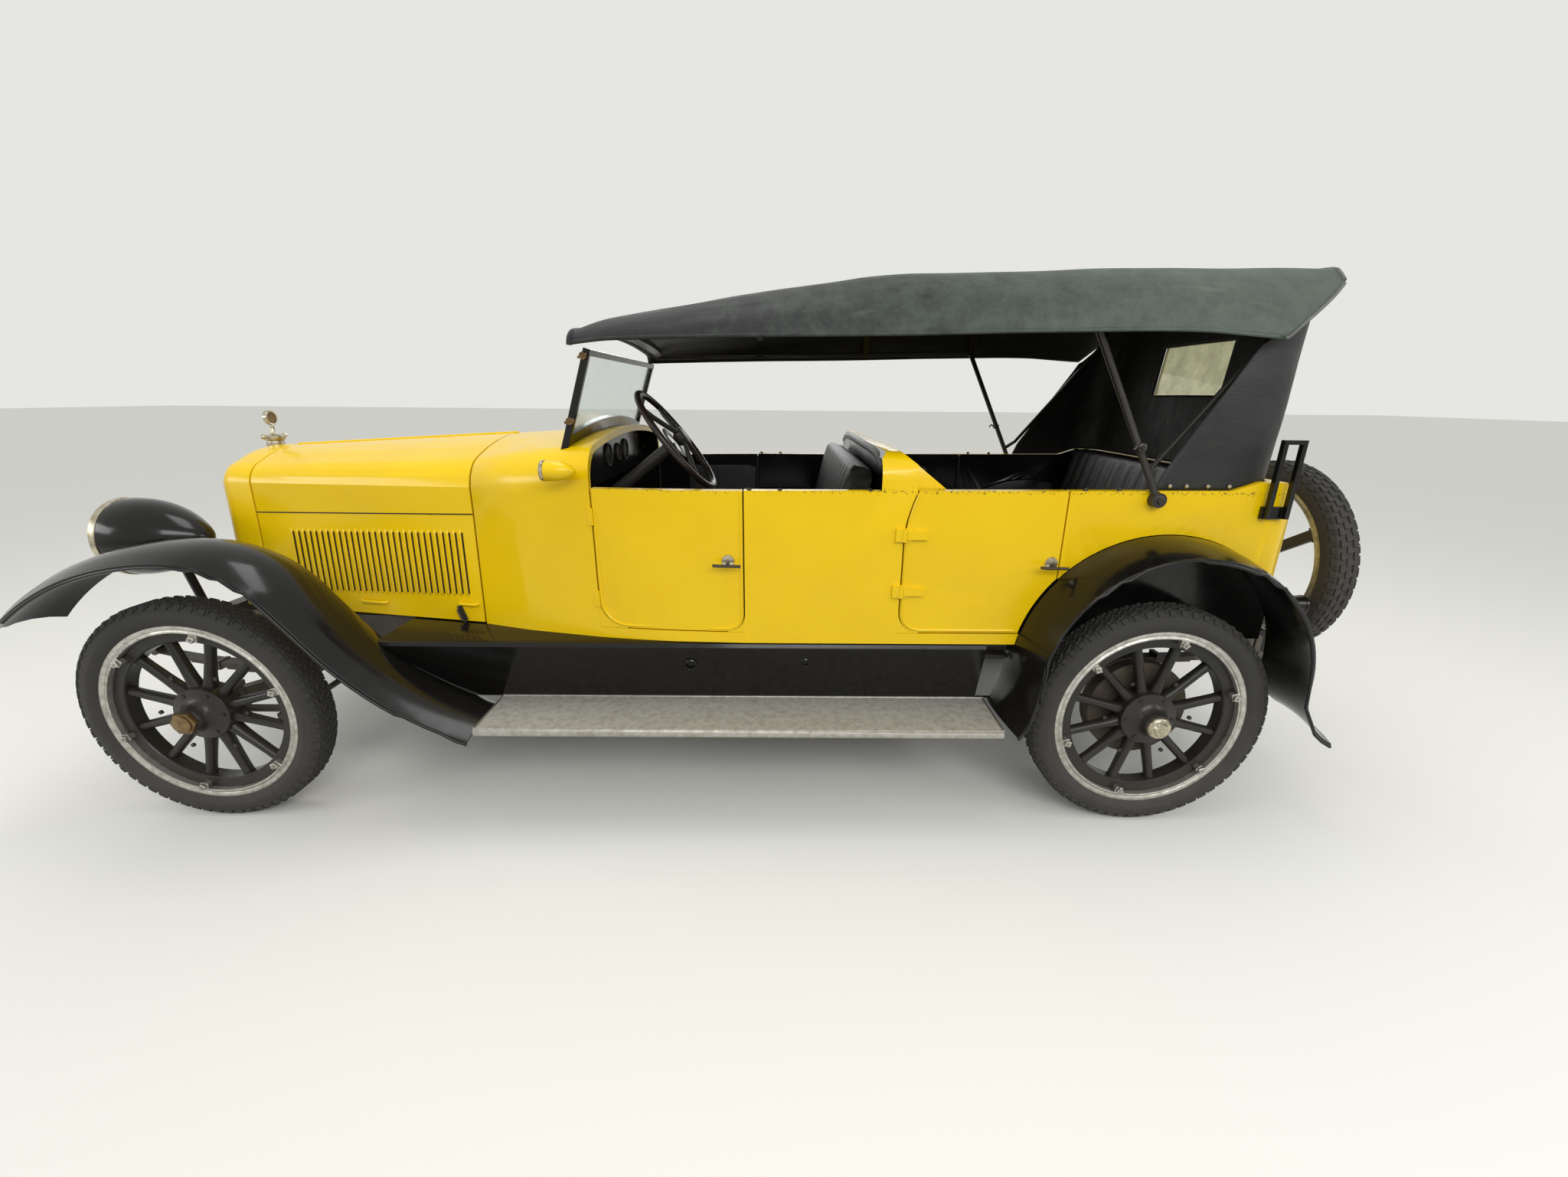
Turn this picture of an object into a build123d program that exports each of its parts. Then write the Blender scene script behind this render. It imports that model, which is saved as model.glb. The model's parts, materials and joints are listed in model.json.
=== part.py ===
"""An open touring car of about 1920: wood-spoked wheels, a folding top and a body on a rail frame.

Millimetres. Stations run rearward from the front axle, heights run up from the ground, and y runs to
the car's right. Each piece is moved to the middle of the car's length as it is written.
"""

from build123d import *
import math
import os

os.makedirs("parts", exist_ok=True)

# Overall sizes
WHEELBASE = 3302
TRACK = 1422
FRONT_OVERHANG = 553
FENDER_OUT = 850
BODY_HALF = 665
RUN = 0.3
FAR = 2000

# Wheels and tyres
TYRE_R = 412
TYRE_HALF = 59
TREAD_HALF = 38
TYRE_SIDE_R = 368
RIM_SEAT_R = 317
RIM_FLANGE_R = 331
RIM_HALF = 47
RIM_FLANGE_WIDTH = 10
FELLOE_R = 303
FELLOE_INNER_R = 264
FELLOE_HALF = 28
SPOKE_COUNT = 12
SPOKE_FOOT = ((-21, -24), (21, -24), (21, 24), (-21, 24))
SPOKE_TAPER = (0.72, 0.75)
HUB_R = 50
HUB_FLANGE_R = 94
HUB_FLANGE_HALF = 34
HUB_INNER = 60
CAP_R = 38
CAP_LENGTH = 30
CAP_FACE = 121
SPINDLE_R = 20
SPINDLE_PAST_WHEEL = 44
BORE_CLEARANCE = 0.05
DRUM_R = 178
DRUM_WIDTH = 62
DRUM_WALL = 8
WHEEL_Y = TRACK / 2

# Spare on the back
SPARE_X = 4184
SPARE_Z = 821
SPARE_LEAN = 2.9
SPARE_PLATE_R = 90
SPARE_POST_Y = 260
SPARE_POST_R = 17

# Frame
RAIL_Y = 345
RAIL_WIDTH = 50
RAIL_TOP = 650
RAIL_DEPTH = 118
RAIL_WALL = 8
RAIL_FRONT = -300
RAIL_REAR = 3900
HORN_TIP = (-500, 512)
CROSS_WIDTH = 60
CRANK_Z = 590
CRANK_R = 14
TOW_R = 16
BRACKETS = (1180, 1860, 2560)
BRACKET_THICK = 30

# Springs and axles
SPRING_WIDTH = 50
SPRING_THICK = 34
SPRING_EYE = (8, -6)
FRONT_SPRING_X = -20
FRONT_SPRING_HALF = 470
FRONT_EYE_Z = 482
FRONT_SEAT_Z = 432
REAR_SPRING_HALF = 640
REAR_EYE_Z = 500
REAR_SEAT_Z = 488
AXLE_DROP_Z = 352
AXLE_HALF = 22
KINGPIN_Y = 606
KINGPIN_R = 12
AXLE_EYE_R = 25
AXLE_EYE_HALF = 32
FORK_GAP = 3
FORK_THICK = 18
FORK_HALF = 24
ARM_LENGTH = 165
ARM_Z = TYRE_R - 54
BALL_R = 11
TIE_ROD_R = 12
REAR_TUBE_R = 40
TORQUE_TUBE_R = 36

# Engine, exhaust and tank
ENGINE = ((40, 760), (-165, 165), (470, 1130))
ENGINE_ARMS_X = (80, 550)
GEARBOX_REAR = 1330
GEARBOX_Z = 545
PIPE_R = 24
PIPE_Y = 240
PIPE_Z = 470
PIPE_DOWN_X = 640
TANK_X = 3998
TANK_Z = 500
TANK_R = 80
TANK_LENGTH = 640

# Body
COWL_FRONT = 905
DOOR_BOTTOM = 700
BODY_BOTTOM = 656
SILL_TOP = 695
WALL = 38
COWL_WALL = 26
DOOR_GAP = 5
REAR_HINGE = (9, 44, (850, 1045))
FRONT_HINGE = (4, 60, (800, 1090))
HINGE_SINK = 3
FRONT_DOOR = (1372, 1887)
REAR_DOOR = (2415, 2948)
BODY_WIDEST_X = 1900
BODY_FRONT_HALF = 492
BELT_FRONT_Z = 1184
BELT_RISE = 13 / 2071
BACK_X = 3760
BACK_CORNER_R = 150
BACK_PROFILE = ((0, 905), (-48, 1120), (-108, 1227))
FLOOR_THICK = 30
FLOOR_TOP = BODY_BOTTOM + FLOOR_THICK
PLAN_STATIONS = (1500, 1650, 1780)
HUMP = ((2335, 1178), (2335, 1290), (2352, 1310), (2400, 1312), (2560, 1188), (2560, 1178))
HUMP_INSIDE = ((2357, 1100), (2357, 1284), (2392, 1286), (2520, 1188), (2520, 1100))
HUMP_CORNER_R = 90
HUMP_WALL = 26
DOOR_SWEEP = ((0, 1050), (9, 1100), (23, 1150), (37, 1188.5))
SEAT_WALL = 22
RISER = 18

# Seats and controls
FRONT_SEAT = (1830, 2290)
REAR_SEAT = (2990, 3560)
SEAT_HALF = 560
CUSHION_Z = 880
CUSHION_TOP = 1015
WHEEL_CENTRE = (1629, -360, 1322)
STEER_R = 205
COLUMN_ANGLE = 38
COLUMN_R = 22
COLUMN_LENGTH = 1035
BOARD_X = (1290, 1302)
PEDALS_Y = (-430, -290)
TOE_BOARD = ((895, 880), (1240, 684))

# Hood and radiator
HOOD_GAP = 7
PANEL = 10
SEAM_HALF = 0.4
RADIATOR_FRONT = -158
RADIATOR_REAR = -30
RADIATOR_WALL = 24
RADIATOR_LIP = 52
NOSE_ROUND = ((0, 44), (10, 20), (28, 6), (54, 0))
GAUGE_Z = 1376
HINGE_ROD_R = 5
ROD_RISE = 1

# Sections of hood and cowl: station, half-width at the foot, foot height, half-width at the hinge line,
# hinge height, half-width where the corner starts, its height, where the crown starts, its height, crown
HOOD_FOOT = BODY_BOTTOM + 5
NOSE = (RADIATOR_REAR, 318, HOOD_FOOT, 292, 1035, 288, 1120, 214, 1222, 1270)
TAIL = (COWL_FRONT, 492, HOOD_FOOT, 468, 1066, 466, 1126, 372, 1262, 1325)
COWL_MID = (1100, 556, BODY_BOTTOM, 552, 1095, 550, 1150, 455, 1292, 1336)

# Fenders, aprons and boards
SHEET = 8
FENDER_INNER = 600
FRONT_CROWN = ((-553, 742), (-270, 944), (116, 1026), (445, 862))
FRONT_CROWN_Y = 725
FRONT_NOSE_R = 150
FENDER_R = 478
FENDER_Z = 575
FENDER_FOOT_Z = 408
REAR_CROWN_Y = 640
HOUSE_WALL = 15
LEDGE_THICK = 5
APRON_TOP_Y = 670
APRON_SPAN = (600, 2795)
BOARD_INNER = 596
BOARD_OUTER = 838
BOARD_TOP = 413
BOARD_THICK = 28
BOARD_SPAN = (981, 2765)

# Lamps and windshield
LAMP_X = -245
LAMP_Y = 425
LAMP_Z = 968
LAMP_PROFILE = ((0, -158), (142, -158), (142, -124), (122, -40), (70, 90), (0, 158))
COWL_LAMP = (1294, -660, 1246)
COWL_LAMP_PROFILE = ((0, -55), (33, -55), (33, 0), (20, 42), (0, 55))
TAIL_LAMP = (4060, -345, 700)
TAIL_LAMP_R = 38
SCREEN_RAKE = 18
SCREEN_FOOT = (1287, 1352)
SCREEN_HALF = 520
SCREEN_RISE = 284
SCREEN_ARCH = 48
SCREEN_BAR = 20
SCREEN_SKIRT = 80
SCREEN_THICK = 24
GLASS = 6

# Sections of the top: station, half-width at the valance, its height, half-width at the shoulder,
# its height, crown height
TOP_ROWS = (
    (1340, 600, 1632, 560, 1672, 1700),
    (1480, 676, 1640, 575, 1712, 1750),
    (1860, 684, 1650, 565, 1775, 1820),
    (2300, 686, 1657, 560, 1838, 1876),
    (3230, 686, 1676, 560, 1870, 1905),
    (3722, 664, 1640, 556, 1872, 1896),
)
CLOTH = 12
SLANT = ((3511, 1646), (3732, 1834))
CURTAIN = 10
CURTAIN_FRONT = 3230
CURTAIN_CORNER_R = 130
CURTAIN_LOW = (3650, 650, 1190)
CURTAIN_TOP = (3718, 596, 1835)
CURTAIN_EDGE = ((3226, 1180), (3250, 1244), (3500, 1645.5))
WINDOW = (427, (1499, 1691))
PANE = 3
BOWS = (1400, 1900, 2430, 2962, 3600)
BOW_WIDTH = 30
BOW_DEPTH = 18
IRON_R = 11
STRAP = (8, 16)
KNEE = (0.58, 0.72)
PIVOT = (3224, 1170)
VALANCE_GAP = 46
REAR_IRON_ELBOW = (3225, 610, 1262)
REAR_BOW_FOOT = (580, 1737)
REST_SPAN = (3580, 3654)
REST_Z = (1112, 1362)

spare_tilt = math.radians(SPARE_LEAN)
REAR_END = SPARE_X + TYRE_HALF * math.cos(spare_tilt) + TYRE_SIDE_R * math.sin(spare_tilt)
MIDDLE = (REAR_END - FRONT_OVERHANG) / 2


def write(name, *shapes):
    """Write a node's solids, moved so that the car's middle is at the origin."""
    solids = [solid for shape in shapes for solid in shape.solids()]
    whole = solids[0] if len(solids) == 1 else Compound(solids)
    export_step(whole.moved(Location((-MIDDLE, 0, 0))), f"parts/{name}.step")


def flip(shape):
    """The same piece on the other side of the car."""
    return mirror(shape, about=Plane.XZ)


def across(station):
    """A sketch plane across the car: its x runs to the right and its y runs up."""
    return Plane(origin=(station, 0, 0), x_dir=(0, 1, 0), z_dir=(1, 0, 0))


def block(x, y, z):
    """A box from pairs of limits along each axis."""
    size = (x[1] - x[0], y[1] - y[0], z[1] - z[0])
    centre = ((x[0] + x[1]) / 2, (y[0] + y[1]) / 2, (z[0] + z[1]) / 2)
    return Pos(*centre) * Box(*size)


def side_cut(points, y_low=-FAR, y_high=FAR):
    """A side-view outline of (station, height) points, carried across from y_low to y_high."""
    face = Plane.XZ * make_face(Polyline(*points, close=True))
    return extrude(face.moved(Location((0, y_low, 0))), amount=y_high - y_low, dir=(0, 1, 0))


def plan_cut(points, z_low, z_high):
    """A plan outline of (station, y) points, carried up from z_low to z_high."""
    return extrude(Plane.XY.offset(z_low) * make_face(Polyline(*points, close=True)), amount=z_high - z_low)


def disc(x, y, z, radius, length):
    """A short bar along the Y axis, centred at a point."""
    return Pos(x, y, z) * Rot(90, 0, 0) * Cylinder(radius, length)


def spread(side, inner, outer):
    """The y limits of something on one side of the car, from its distances to the middle."""
    return sorted((side * inner, side * outer))


def rod(start, end, radius):
    """A round bar between two points."""
    start, end = Vector(*start), Vector(*end)
    run = end - start
    face = Plane(origin=start, z_dir=run.normalized()) * Circle(radius)
    return extrude(face, amount=run.length)


def arc(start, middle, end, count):
    """Points along an arc, for a section whose curve is drawn as so many flats."""
    curve = ThreePointArc(start, middle, end)
    return [((curve @ (i / count)).X, (curve @ (i / count)).Y) for i in range(count + 1)]


def turned(points):
    """A solid turned about the Y axis from (radius, y) points."""
    return revolve(make_face(Polyline(*points, close=True)), Axis.Y)


def belt(station):
    """Height of the body's upper edge."""
    return BELT_FRONT_Z + BELT_RISE * (station - FRONT_DOOR[0])


def body_half(station):
    """Half-width of the body: a long arc from the cowl that runs out flat at its widest place."""
    run = BODY_WIDEST_X - COWL_FRONT
    rise = BODY_HALF - BODY_FRONT_HALF
    radius = (run**2 + rise**2) / (2 * rise)
    ahead = max(BODY_WIDEST_X - station, 0)
    return BODY_HALF - (radius - math.sqrt(radius**2 - ahead**2))


TUB_TOP = ((3473, belt(3473)), (3560, 1226))
COWL_HALF = body_half(FRONT_DOOR[0])
COWL_REAR = (FRONT_DOOR[0], COWL_HALF, BODY_BOTTOM, COWL_HALF, 1150, COWL_HALF, 1186, 540, 1318, 1358)
COWL_ROWS = ((COWL_FRONT, BODY_FRONT_HALF, BODY_BOTTOM) + TAIL[3:], COWL_MID, COWL_REAR)


# Wheels


def rim_rows():
    """The rim's section from one flange to the other, as (radius, y) points."""
    seat = RIM_HALF - RIM_FLANGE_WIDTH
    return [
        (FELLOE_R, -RIM_HALF),
        (RIM_FLANGE_R, -RIM_HALF),
        (RIM_SEAT_R, -seat),
        (RIM_SEAT_R, seat),
        (RIM_FLANGE_R, RIM_HALF),
        (FELLOE_R, RIM_HALF),
    ]


def wheel(drum):
    """Felloe and rim, twelve tapered spokes and a hub, about the Y axis with its cap towards -Y."""
    ring = turned([(FELLOE_INNER_R, -FELLOE_HALF), *rim_rows(), (FELLOE_INNER_R, FELLOE_HALF)])
    hub = turned(
        [
            (0, -CAP_FACE),
            (CAP_R, -CAP_FACE),
            (CAP_R + 2, CAP_LENGTH - CAP_FACE),
            (HUB_R, -HUB_INNER),
            (HUB_FLANGE_R, -HUB_FLANGE_HALF),
            (HUB_FLANGE_R, HUB_FLANGE_HALF),
            (HUB_R, HUB_FLANGE_HALF + 6),
            (HUB_R, HUB_INNER),
            (0, HUB_INNER),
        ]
    )
    tip = [(SPOKE_TAPER[0] * a, SPOKE_TAPER[1] * b) for a, b in SPOKE_FOOT]
    spoke = loft(
        [
            Plane.XY.offset(HUB_FLANGE_R - 22) * make_face(Polyline(*SPOKE_FOOT, close=True)),
            Plane.XY.offset(FELLOE_INNER_R + 6) * make_face(Polyline(*tip, close=True)),
        ],
        ruled=True,
    )
    body = hub + ring
    for turn in range(SPOKE_COUNT):
        body += Rot(0, 360 / SPOKE_COUNT * (turn + 0.5), 0) * spoke
    if drum:
        start = HUB_FLANGE_HALF + 2
        end = start + DRUM_WIDTH
        inside = DRUM_R - DRUM_WALL
        web = start + DRUM_WALL
        root = HUB_R - 2
        rows = [(root, start), (DRUM_R, start), (DRUM_R, end), (inside, end), (inside, web), (root, web)]
        body += turned(rows)
    depth = HUB_INNER + HUB_R
    bore = disc(0, HUB_INNER - depth / 2, 0, SPINDLE_R + BORE_CLEARANCE, depth)
    return body - bore


def tyre():
    """A high-pressure tyre seated on its rim."""
    bead = RIM_HALF - RIM_FLANGE_WIDTH - 0.5
    return turned(
        [
            (RIM_SEAT_R + RUN, -bead),
            (TYRE_SIDE_R, -TYRE_HALF),
            (TYRE_R, -TREAD_HALF),
            (TYRE_R, TREAD_HALF),
            (TYRE_SIDE_R, TYRE_HALF),
            (RIM_SEAT_R + RUN, bead),
        ]
    )


def wheels():
    """Four wheels with their tyres, each with its cap outward, and the spare tyre on its own rim."""
    rubber = tyre()
    for end, station, drum in (("front", 0, False), ("rear", WHEELBASE, True)):
        place = Pos(station, -WHEEL_Y, TYRE_R)
        one = place * wheel(drum)
        write(f"{end}_left_wheel", one)
        write(f"{end}_right_wheel", flip(one))
        write(f"{end}_left_tyre", place * rubber)
        write(f"{end}_right_tyre", flip(place * rubber))
    place = Pos(SPARE_X, 0, SPARE_Z) * Rot(0, -SPARE_LEAN, 0) * Rot(0, 0, 90)
    write("spare_tyre", place * rubber)
    write("spare_rim", place * turned(rim_rows()))
    write("spare_carrier", spare_carrier(place))


def spare_carrier(place):
    """A dished plate inside the rim with three pads, on two arms from the ends of the rails."""
    reach = FELLOE_R - RUN
    spider = place * disc(0, 30, 0, SPARE_PLATE_R, 14)
    spider += block((RAIL_REAR + 225, SPARE_X - 30), (-40, 40), (SPARE_Z - 40, SPARE_Z + 10))
    for turn in (90, 210, 330):
        arm = block((60, reach - 4), (22, 38), (-22, 22))
        pad = block((reach - 16, reach - 2), (-20, 38), (-30, 30))
        spider += place * (Rot(0, turn, 0) * (arm + pad))
    back, top = RAIL_REAR + 240, RAIL_TOP - 24
    for side in (-1, 1):
        y = side * SPARE_POST_Y
        half = SPARE_POST_R
        spider += block((RAIL_REAR - 30 + RUN, back), (y - half, y + half), (top - 36, top))
        (y0, z0), (y1, z1) = (y, top - 36), (0.12 * y, SPARE_Z)
        post = Polyline((y0 - half, z0), (y0 + half, z0), (y1 + half, z1), (y1 - half, z1), close=True)
        spider += extrude(across(back - 36) * make_face(post), amount=30)
    return spider


# Running gear


def frame_rail():
    """The right rail: a channel open inward, with its curved front horn."""
    low = RAIL_TOP - RAIL_DEPTH
    outer = RAIL_Y + RAIL_WIDTH
    tip_x, tip_z = HORN_TIP
    profile = [
        (RAIL_FRONT, RAIL_TOP),
        (RAIL_FRONT - 120, RAIL_TOP - 30),
        (tip_x, tip_z + 22),
        (tip_x - 14, tip_z),
        (tip_x, tip_z - 22),
        (RAIL_FRONT - 100, low + 10),
        (RAIL_FRONT, low),
        (RAIL_REAR, low),
        (RAIL_REAR, RAIL_TOP),
    ]
    rail = side_cut(profile, RAIL_Y, outer)
    hollow_z = (low + RAIL_WALL, RAIL_TOP - RAIL_WALL)
    return rail - block((RAIL_FRONT - 11, RAIL_REAR - 20), (RAIL_Y - 1, outer - RAIL_WALL), hollow_z)


def cross_members():
    """Four bars between the rails' channels: the first carries the crank's bearing, the last a tow hole."""
    low = RAIL_TOP - RAIL_DEPTH
    reach = RAIL_Y + RAIL_WIDTH - RAIL_WALL - RUN
    high = RAIL_TOP - 12
    ends = (RAIL_FRONT + 20, RAIL_REAR - 60)
    bars = []
    for x, bottom in ((ends[0], low + 12), (1750, RAIL_TOP - 52), (2700, RAIL_TOP - 60), (ends[1], low + 12)):
        bars.append(block((x - CROSS_WIDTH / 2, x + CROSS_WIDTH / 2), (-reach, reach), (bottom, high)))
    bars[0] += Pos(RAIL_FRONT + 5, 0, CRANK_Z) * Rot(0, 90, 0) * Cylinder(CRANK_R + 16, CROSS_WIDTH + 10)
    bars[0] -= Pos(RAIL_FRONT, 0, CRANK_Z) * Rot(0, 90, 0) * Cylinder(CRANK_R, 200)
    bars[3] -= Pos(ends[1], 0, CRANK_Z) * Cylinder(TOW_R, 200)
    return bars


def side_arm(x):
    """A forged bracket from the rail down and out beneath the running board."""
    low = RAIL_TOP - RAIL_DEPTH
    inner = RAIL_Y + RAIL_WIDTH + RUN
    under = BOARD_TOP - BOARD_THICK - RUN
    points = [
        (inner, low + 90),
        (inner, low + 10),
        (BOARD_INNER - 40, under - 20),
        (BOARD_OUTER - 40, under - 12),
        (BOARD_OUTER - 40, under),
        (BOARD_INNER - 30, under),
    ]
    face = across(x - BRACKET_THICK / 2) * make_face(Polyline(*points, close=True))
    return extrude(face, amount=BRACKET_THICK)


def leaf_spring(centre, half, eye_z, seat_z):
    """A half-elliptic spring drawn as one bowed and tapered pack of leaves."""
    high, low = eye_z + SPRING_EYE[0], eye_z + SPRING_EYE[1]
    ends = (centre - half, centre + half)
    outline = make_face(
        [
            Line((ends[0], high), (ends[0], low)),
            ThreePointArc((ends[0], low), (centre, seat_z - SPRING_THICK), (ends[1], low)),
            Line((ends[1], low), (ends[1], high)),
            ThreePointArc((ends[1], high), (centre, seat_z), (ends[0], high)),
        ]
    )
    placed = (Plane.XZ * outline).moved(Location((0, RAIL_Y, 0)))
    return extrude(placed, amount=SPRING_WIDTH, dir=(0, 1, 0))


def leaf_springs():
    """Four springs: the front pair from horn to rail, the rear pair hung under the rails."""
    front = leaf_spring(FRONT_SPRING_X, FRONT_SPRING_HALF, FRONT_EYE_Z, FRONT_SEAT_Z)
    rear = leaf_spring(WHEELBASE, REAR_SPRING_HALF, REAR_EYE_Z, REAR_SEAT_Z)
    under = RAIL_TOP - RAIL_DEPTH - RUN
    span = (RAIL_Y + 8, RAIL_Y + SPRING_WIDTH - 8)
    hanger_x = FRONT_SPRING_HALF - 34
    front += block((hanger_x - 12, hanger_x + 12), span, (FRONT_EYE_Z - 8, under))
    hanger_x = WHEELBASE - REAR_SPRING_HALF + 14
    rear += block((hanger_x - 12, hanger_x + 12), span, (REAR_EYE_Z - 8, under))
    hanger_x = WHEELBASE + REAR_SPRING_HALF - 15
    rear += block((hanger_x - 11, hanger_x + 11), span, (REAR_EYE_Z - 8, RAIL_TOP - 70))
    return [front, flip(front), rear, flip(rear)]


def front_axle():
    """A dropped beam with an eye at each end for the kingpin and a pad under each spring."""
    top = FRONT_SEAT_Z - SPRING_THICK - RUN
    half = [
        (KINGPIN_Y - 18, TYRE_R - 22),
        (RAIL_Y + 80, top - 44),
        (RAIL_Y - 50, AXLE_DROP_Z - 26),
    ]
    half_top = [
        (RAIL_Y - 60, AXLE_DROP_Z + 26),
        (RAIL_Y - 20, top),
        (RAIL_Y + 75, top),
        (KINGPIN_Y - 18, TYRE_R + 22),
    ]
    right = half_top + half
    beam = right + [(-y, z) for y, z in reversed(right)]
    face = across(-AXLE_HALF) * make_face(Polyline(*beam, close=True))
    axle = extrude(face, amount=2 * AXLE_HALF)
    for y in (-KINGPIN_Y, KINGPIN_Y):
        axle += Pos(0, y, TYRE_R) * Cylinder(AXLE_EYE_R, 2 * AXLE_EYE_HALF)
        axle -= Pos(0, y, TYRE_R) * Cylinder(KINGPIN_R + BORE_CLEARANCE, 2 * AXLE_EYE_HALF + 2)
    return axle


def knuckle():
    """The left steering knuckle: a fork round the axle's eye, the kingpin, the spindle and an arm."""
    y = -KINGPIN_Y
    gap = AXLE_EYE_HALF + FORK_GAP
    reach = gap + FORK_THICK
    outer = HUB_INNER + 5 - WHEEL_Y
    sides = (-FORK_HALF, FORK_HALF)
    fork = block(sides, (outer, y + 22), (TYRE_R - reach, TYRE_R - gap))
    fork += block(sides, (outer, y + 22), (TYRE_R + gap, TYRE_R + reach))
    fork += block(sides, (outer, y - AXLE_EYE_R - 2), (TYRE_R - reach, TYRE_R + reach))
    fork += Pos(0, y, TYRE_R) * Cylinder(KINGPIN_R, 2 * gap + 30)
    fork += rod((0, outer + 4, TYRE_R), (0, -WHEEL_Y - SPINDLE_PAST_WHEEL, TYRE_R), SPINDLE_R)
    fork += block((-20, ARM_LENGTH), (y - 14, y + 14), (ARM_Z - 8, ARM_Z + 8))
    fork += Pos(ARM_LENGTH, y, ARM_Z) * Cylinder(BALL_R + 7, 16)
    return fork - Pos(ARM_LENGTH, y, ARM_Z) * Cylinder(BALL_R + BORE_CLEARANCE, 30)


def tie_rod():
    """The rod between the two steering arms, with a pin up into each arm."""
    z = ARM_Z - 28
    bar = rod((ARM_LENGTH, -KINGPIN_Y, z), (ARM_LENGTH, KINGPIN_Y, z), TIE_ROD_R)
    for y in (-KINGPIN_Y, KINGPIN_Y):
        bar += Pos(ARM_LENGTH, y, z) * Box(2 * BALL_R + 16, 2 * BALL_R + 16, 2 * TIE_ROD_R + 4)
        bar += Pos(ARM_LENGTH, y, z + 22) * Cylinder(BALL_R, 44)
    return bar


def rear_axle():
    """A banjo housing with its tubes, the spindles that carry the wheels, and the torque tube."""
    x, z = WHEELBASE, TYRE_R
    plate_y = WHEEL_Y - HUB_FLANGE_HALF - DRUM_WIDTH - 7
    plate_r = DRUM_R - DRUM_WALL - 6
    right = [
        (150, 0),
        (150, 50),
        (90, 105),
        (REAR_TUBE_R, 150),
        (REAR_TUBE_R, plate_y - 10),
        (plate_r, plate_y - 10),
        (plate_r, plate_y),
        (SPINDLE_R, plate_y),
        (SPINDLE_R, WHEEL_Y + SPINDLE_PAST_WHEEL),
    ]
    left = [(r, -y) for r, y in right[1:]]
    profile = [(0, right[-1][1]), *reversed(right), *left, (0, left[-1][1])]
    axle = Pos(x, 0, z) * turned(profile)
    axle += rod((GEARBOX_REAR + 3, 0, GEARBOX_Z), (x - 140, 0, z + 4), TORQUE_TUBE_R)
    seat = REAR_SEAT_Z - SPRING_THICK - RUN
    for side in (-1, 1):
        axle += block((x - 60, x + 60), spread(side, RAIL_Y, RAIL_Y + SPRING_WIDTH), (z, seat))
    return axle


def engine():
    """The engine and its gearbox as one plain mass."""
    x, y, z = ENGINE
    mass = block(x, y, z)
    mass += block((x[1], GEARBOX_REAR), (-110, 110), (GEARBOX_Z - 95, GEARBOX_Z + 95))
    reach = RAIL_Y + RAIL_WIDTH - RAIL_WALL - RUN
    for arm_x in ENGINE_ARMS_X:
        mass += block((arm_x, arm_x + 50), (-reach, reach), (RAIL_TOP - 80, RAIL_TOP - 45))
    return mass


def exhaust():
    """The pipe from the engine's right side, the silencer and the tail pipe."""
    x, y, z = PIPE_DOWN_X, PIPE_Y, PIPE_Z
    pipe = rod((x, ENGINE[1][1] + RUN, 640), (x, y + PIPE_R - 4, 640), PIPE_R)
    pipe += rod((x - 8, y, 662), (x + 68, y, z - 20), PIPE_R)
    pipe += rod((x + 44, y, z), (1960, y, z), PIPE_R)
    pipe += Pos(2230, y, z) * Rot(0, 90, 0) * Cylinder(68, 560)
    return pipe + rod((2505, y, z), (3060, y, z - 30), 18)


def fuel_tank():
    """A drum across the rails behind the body, hung on two straps, with its filler."""
    tank = disc(TANK_X, 0, TANK_Z, TANK_R, TANK_LENGTH)
    top = TANK_Z + TANK_R
    tank += Pos(TANK_X + 20, -200, top) * Cylinder(34, 60)
    for y in (-150, 150):
        tank += block((RAIL_REAR - 30 + RUN, TANK_X), (y - 20, y + 20), (top - 24, top - 6))
    return tank


# Radiator and hood

def between(row_a, row_b, station):
    """A section row at a station between two rows."""
    share = (station - row_a[0]) / (row_b[0] - row_a[0])
    return tuple(a + share * (b - a) for a, b in zip(row_a, row_b))


def arch(row, inset=0, below=0):
    """A closed section across the car: straight sides, rounded corners and a crowned top."""
    x, foot, foot_z, hinge, hinge_z, side, side_z, turn, turn_z, crown = row
    lower = foot_z - below
    foot, hinge, side, turn = (width - inset for width in (foot, hinge, side, turn))
    turn_z, crown = turn_z - 0.8 * inset, crown - inset
    bulge = (side - 0.24 * (side - turn), side_z + 0.64 * (turn_z - side_z))
    right = [(foot, lower), (hinge, hinge_z), *arc((side, side_z), bulge, (turn, turn_z), 5)]
    roof = arc((turn, turn_z), (0, crown), (-turn, turn_z), 8)
    left = [(-y, z) for y, z in reversed(right)]
    return across(x) * make_face(Polyline(*right[:-1], *roof, *left[1:], close=True))


def arch_shell(rows, thick):
    """A hollow body through two or more sections, open at its foot and ends."""
    outer = loft([arch(row) for row in rows], ruled=True)
    inner = loft([arch(row, thick, 2) for row in rows], ruled=True)
    return outer - inner


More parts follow.
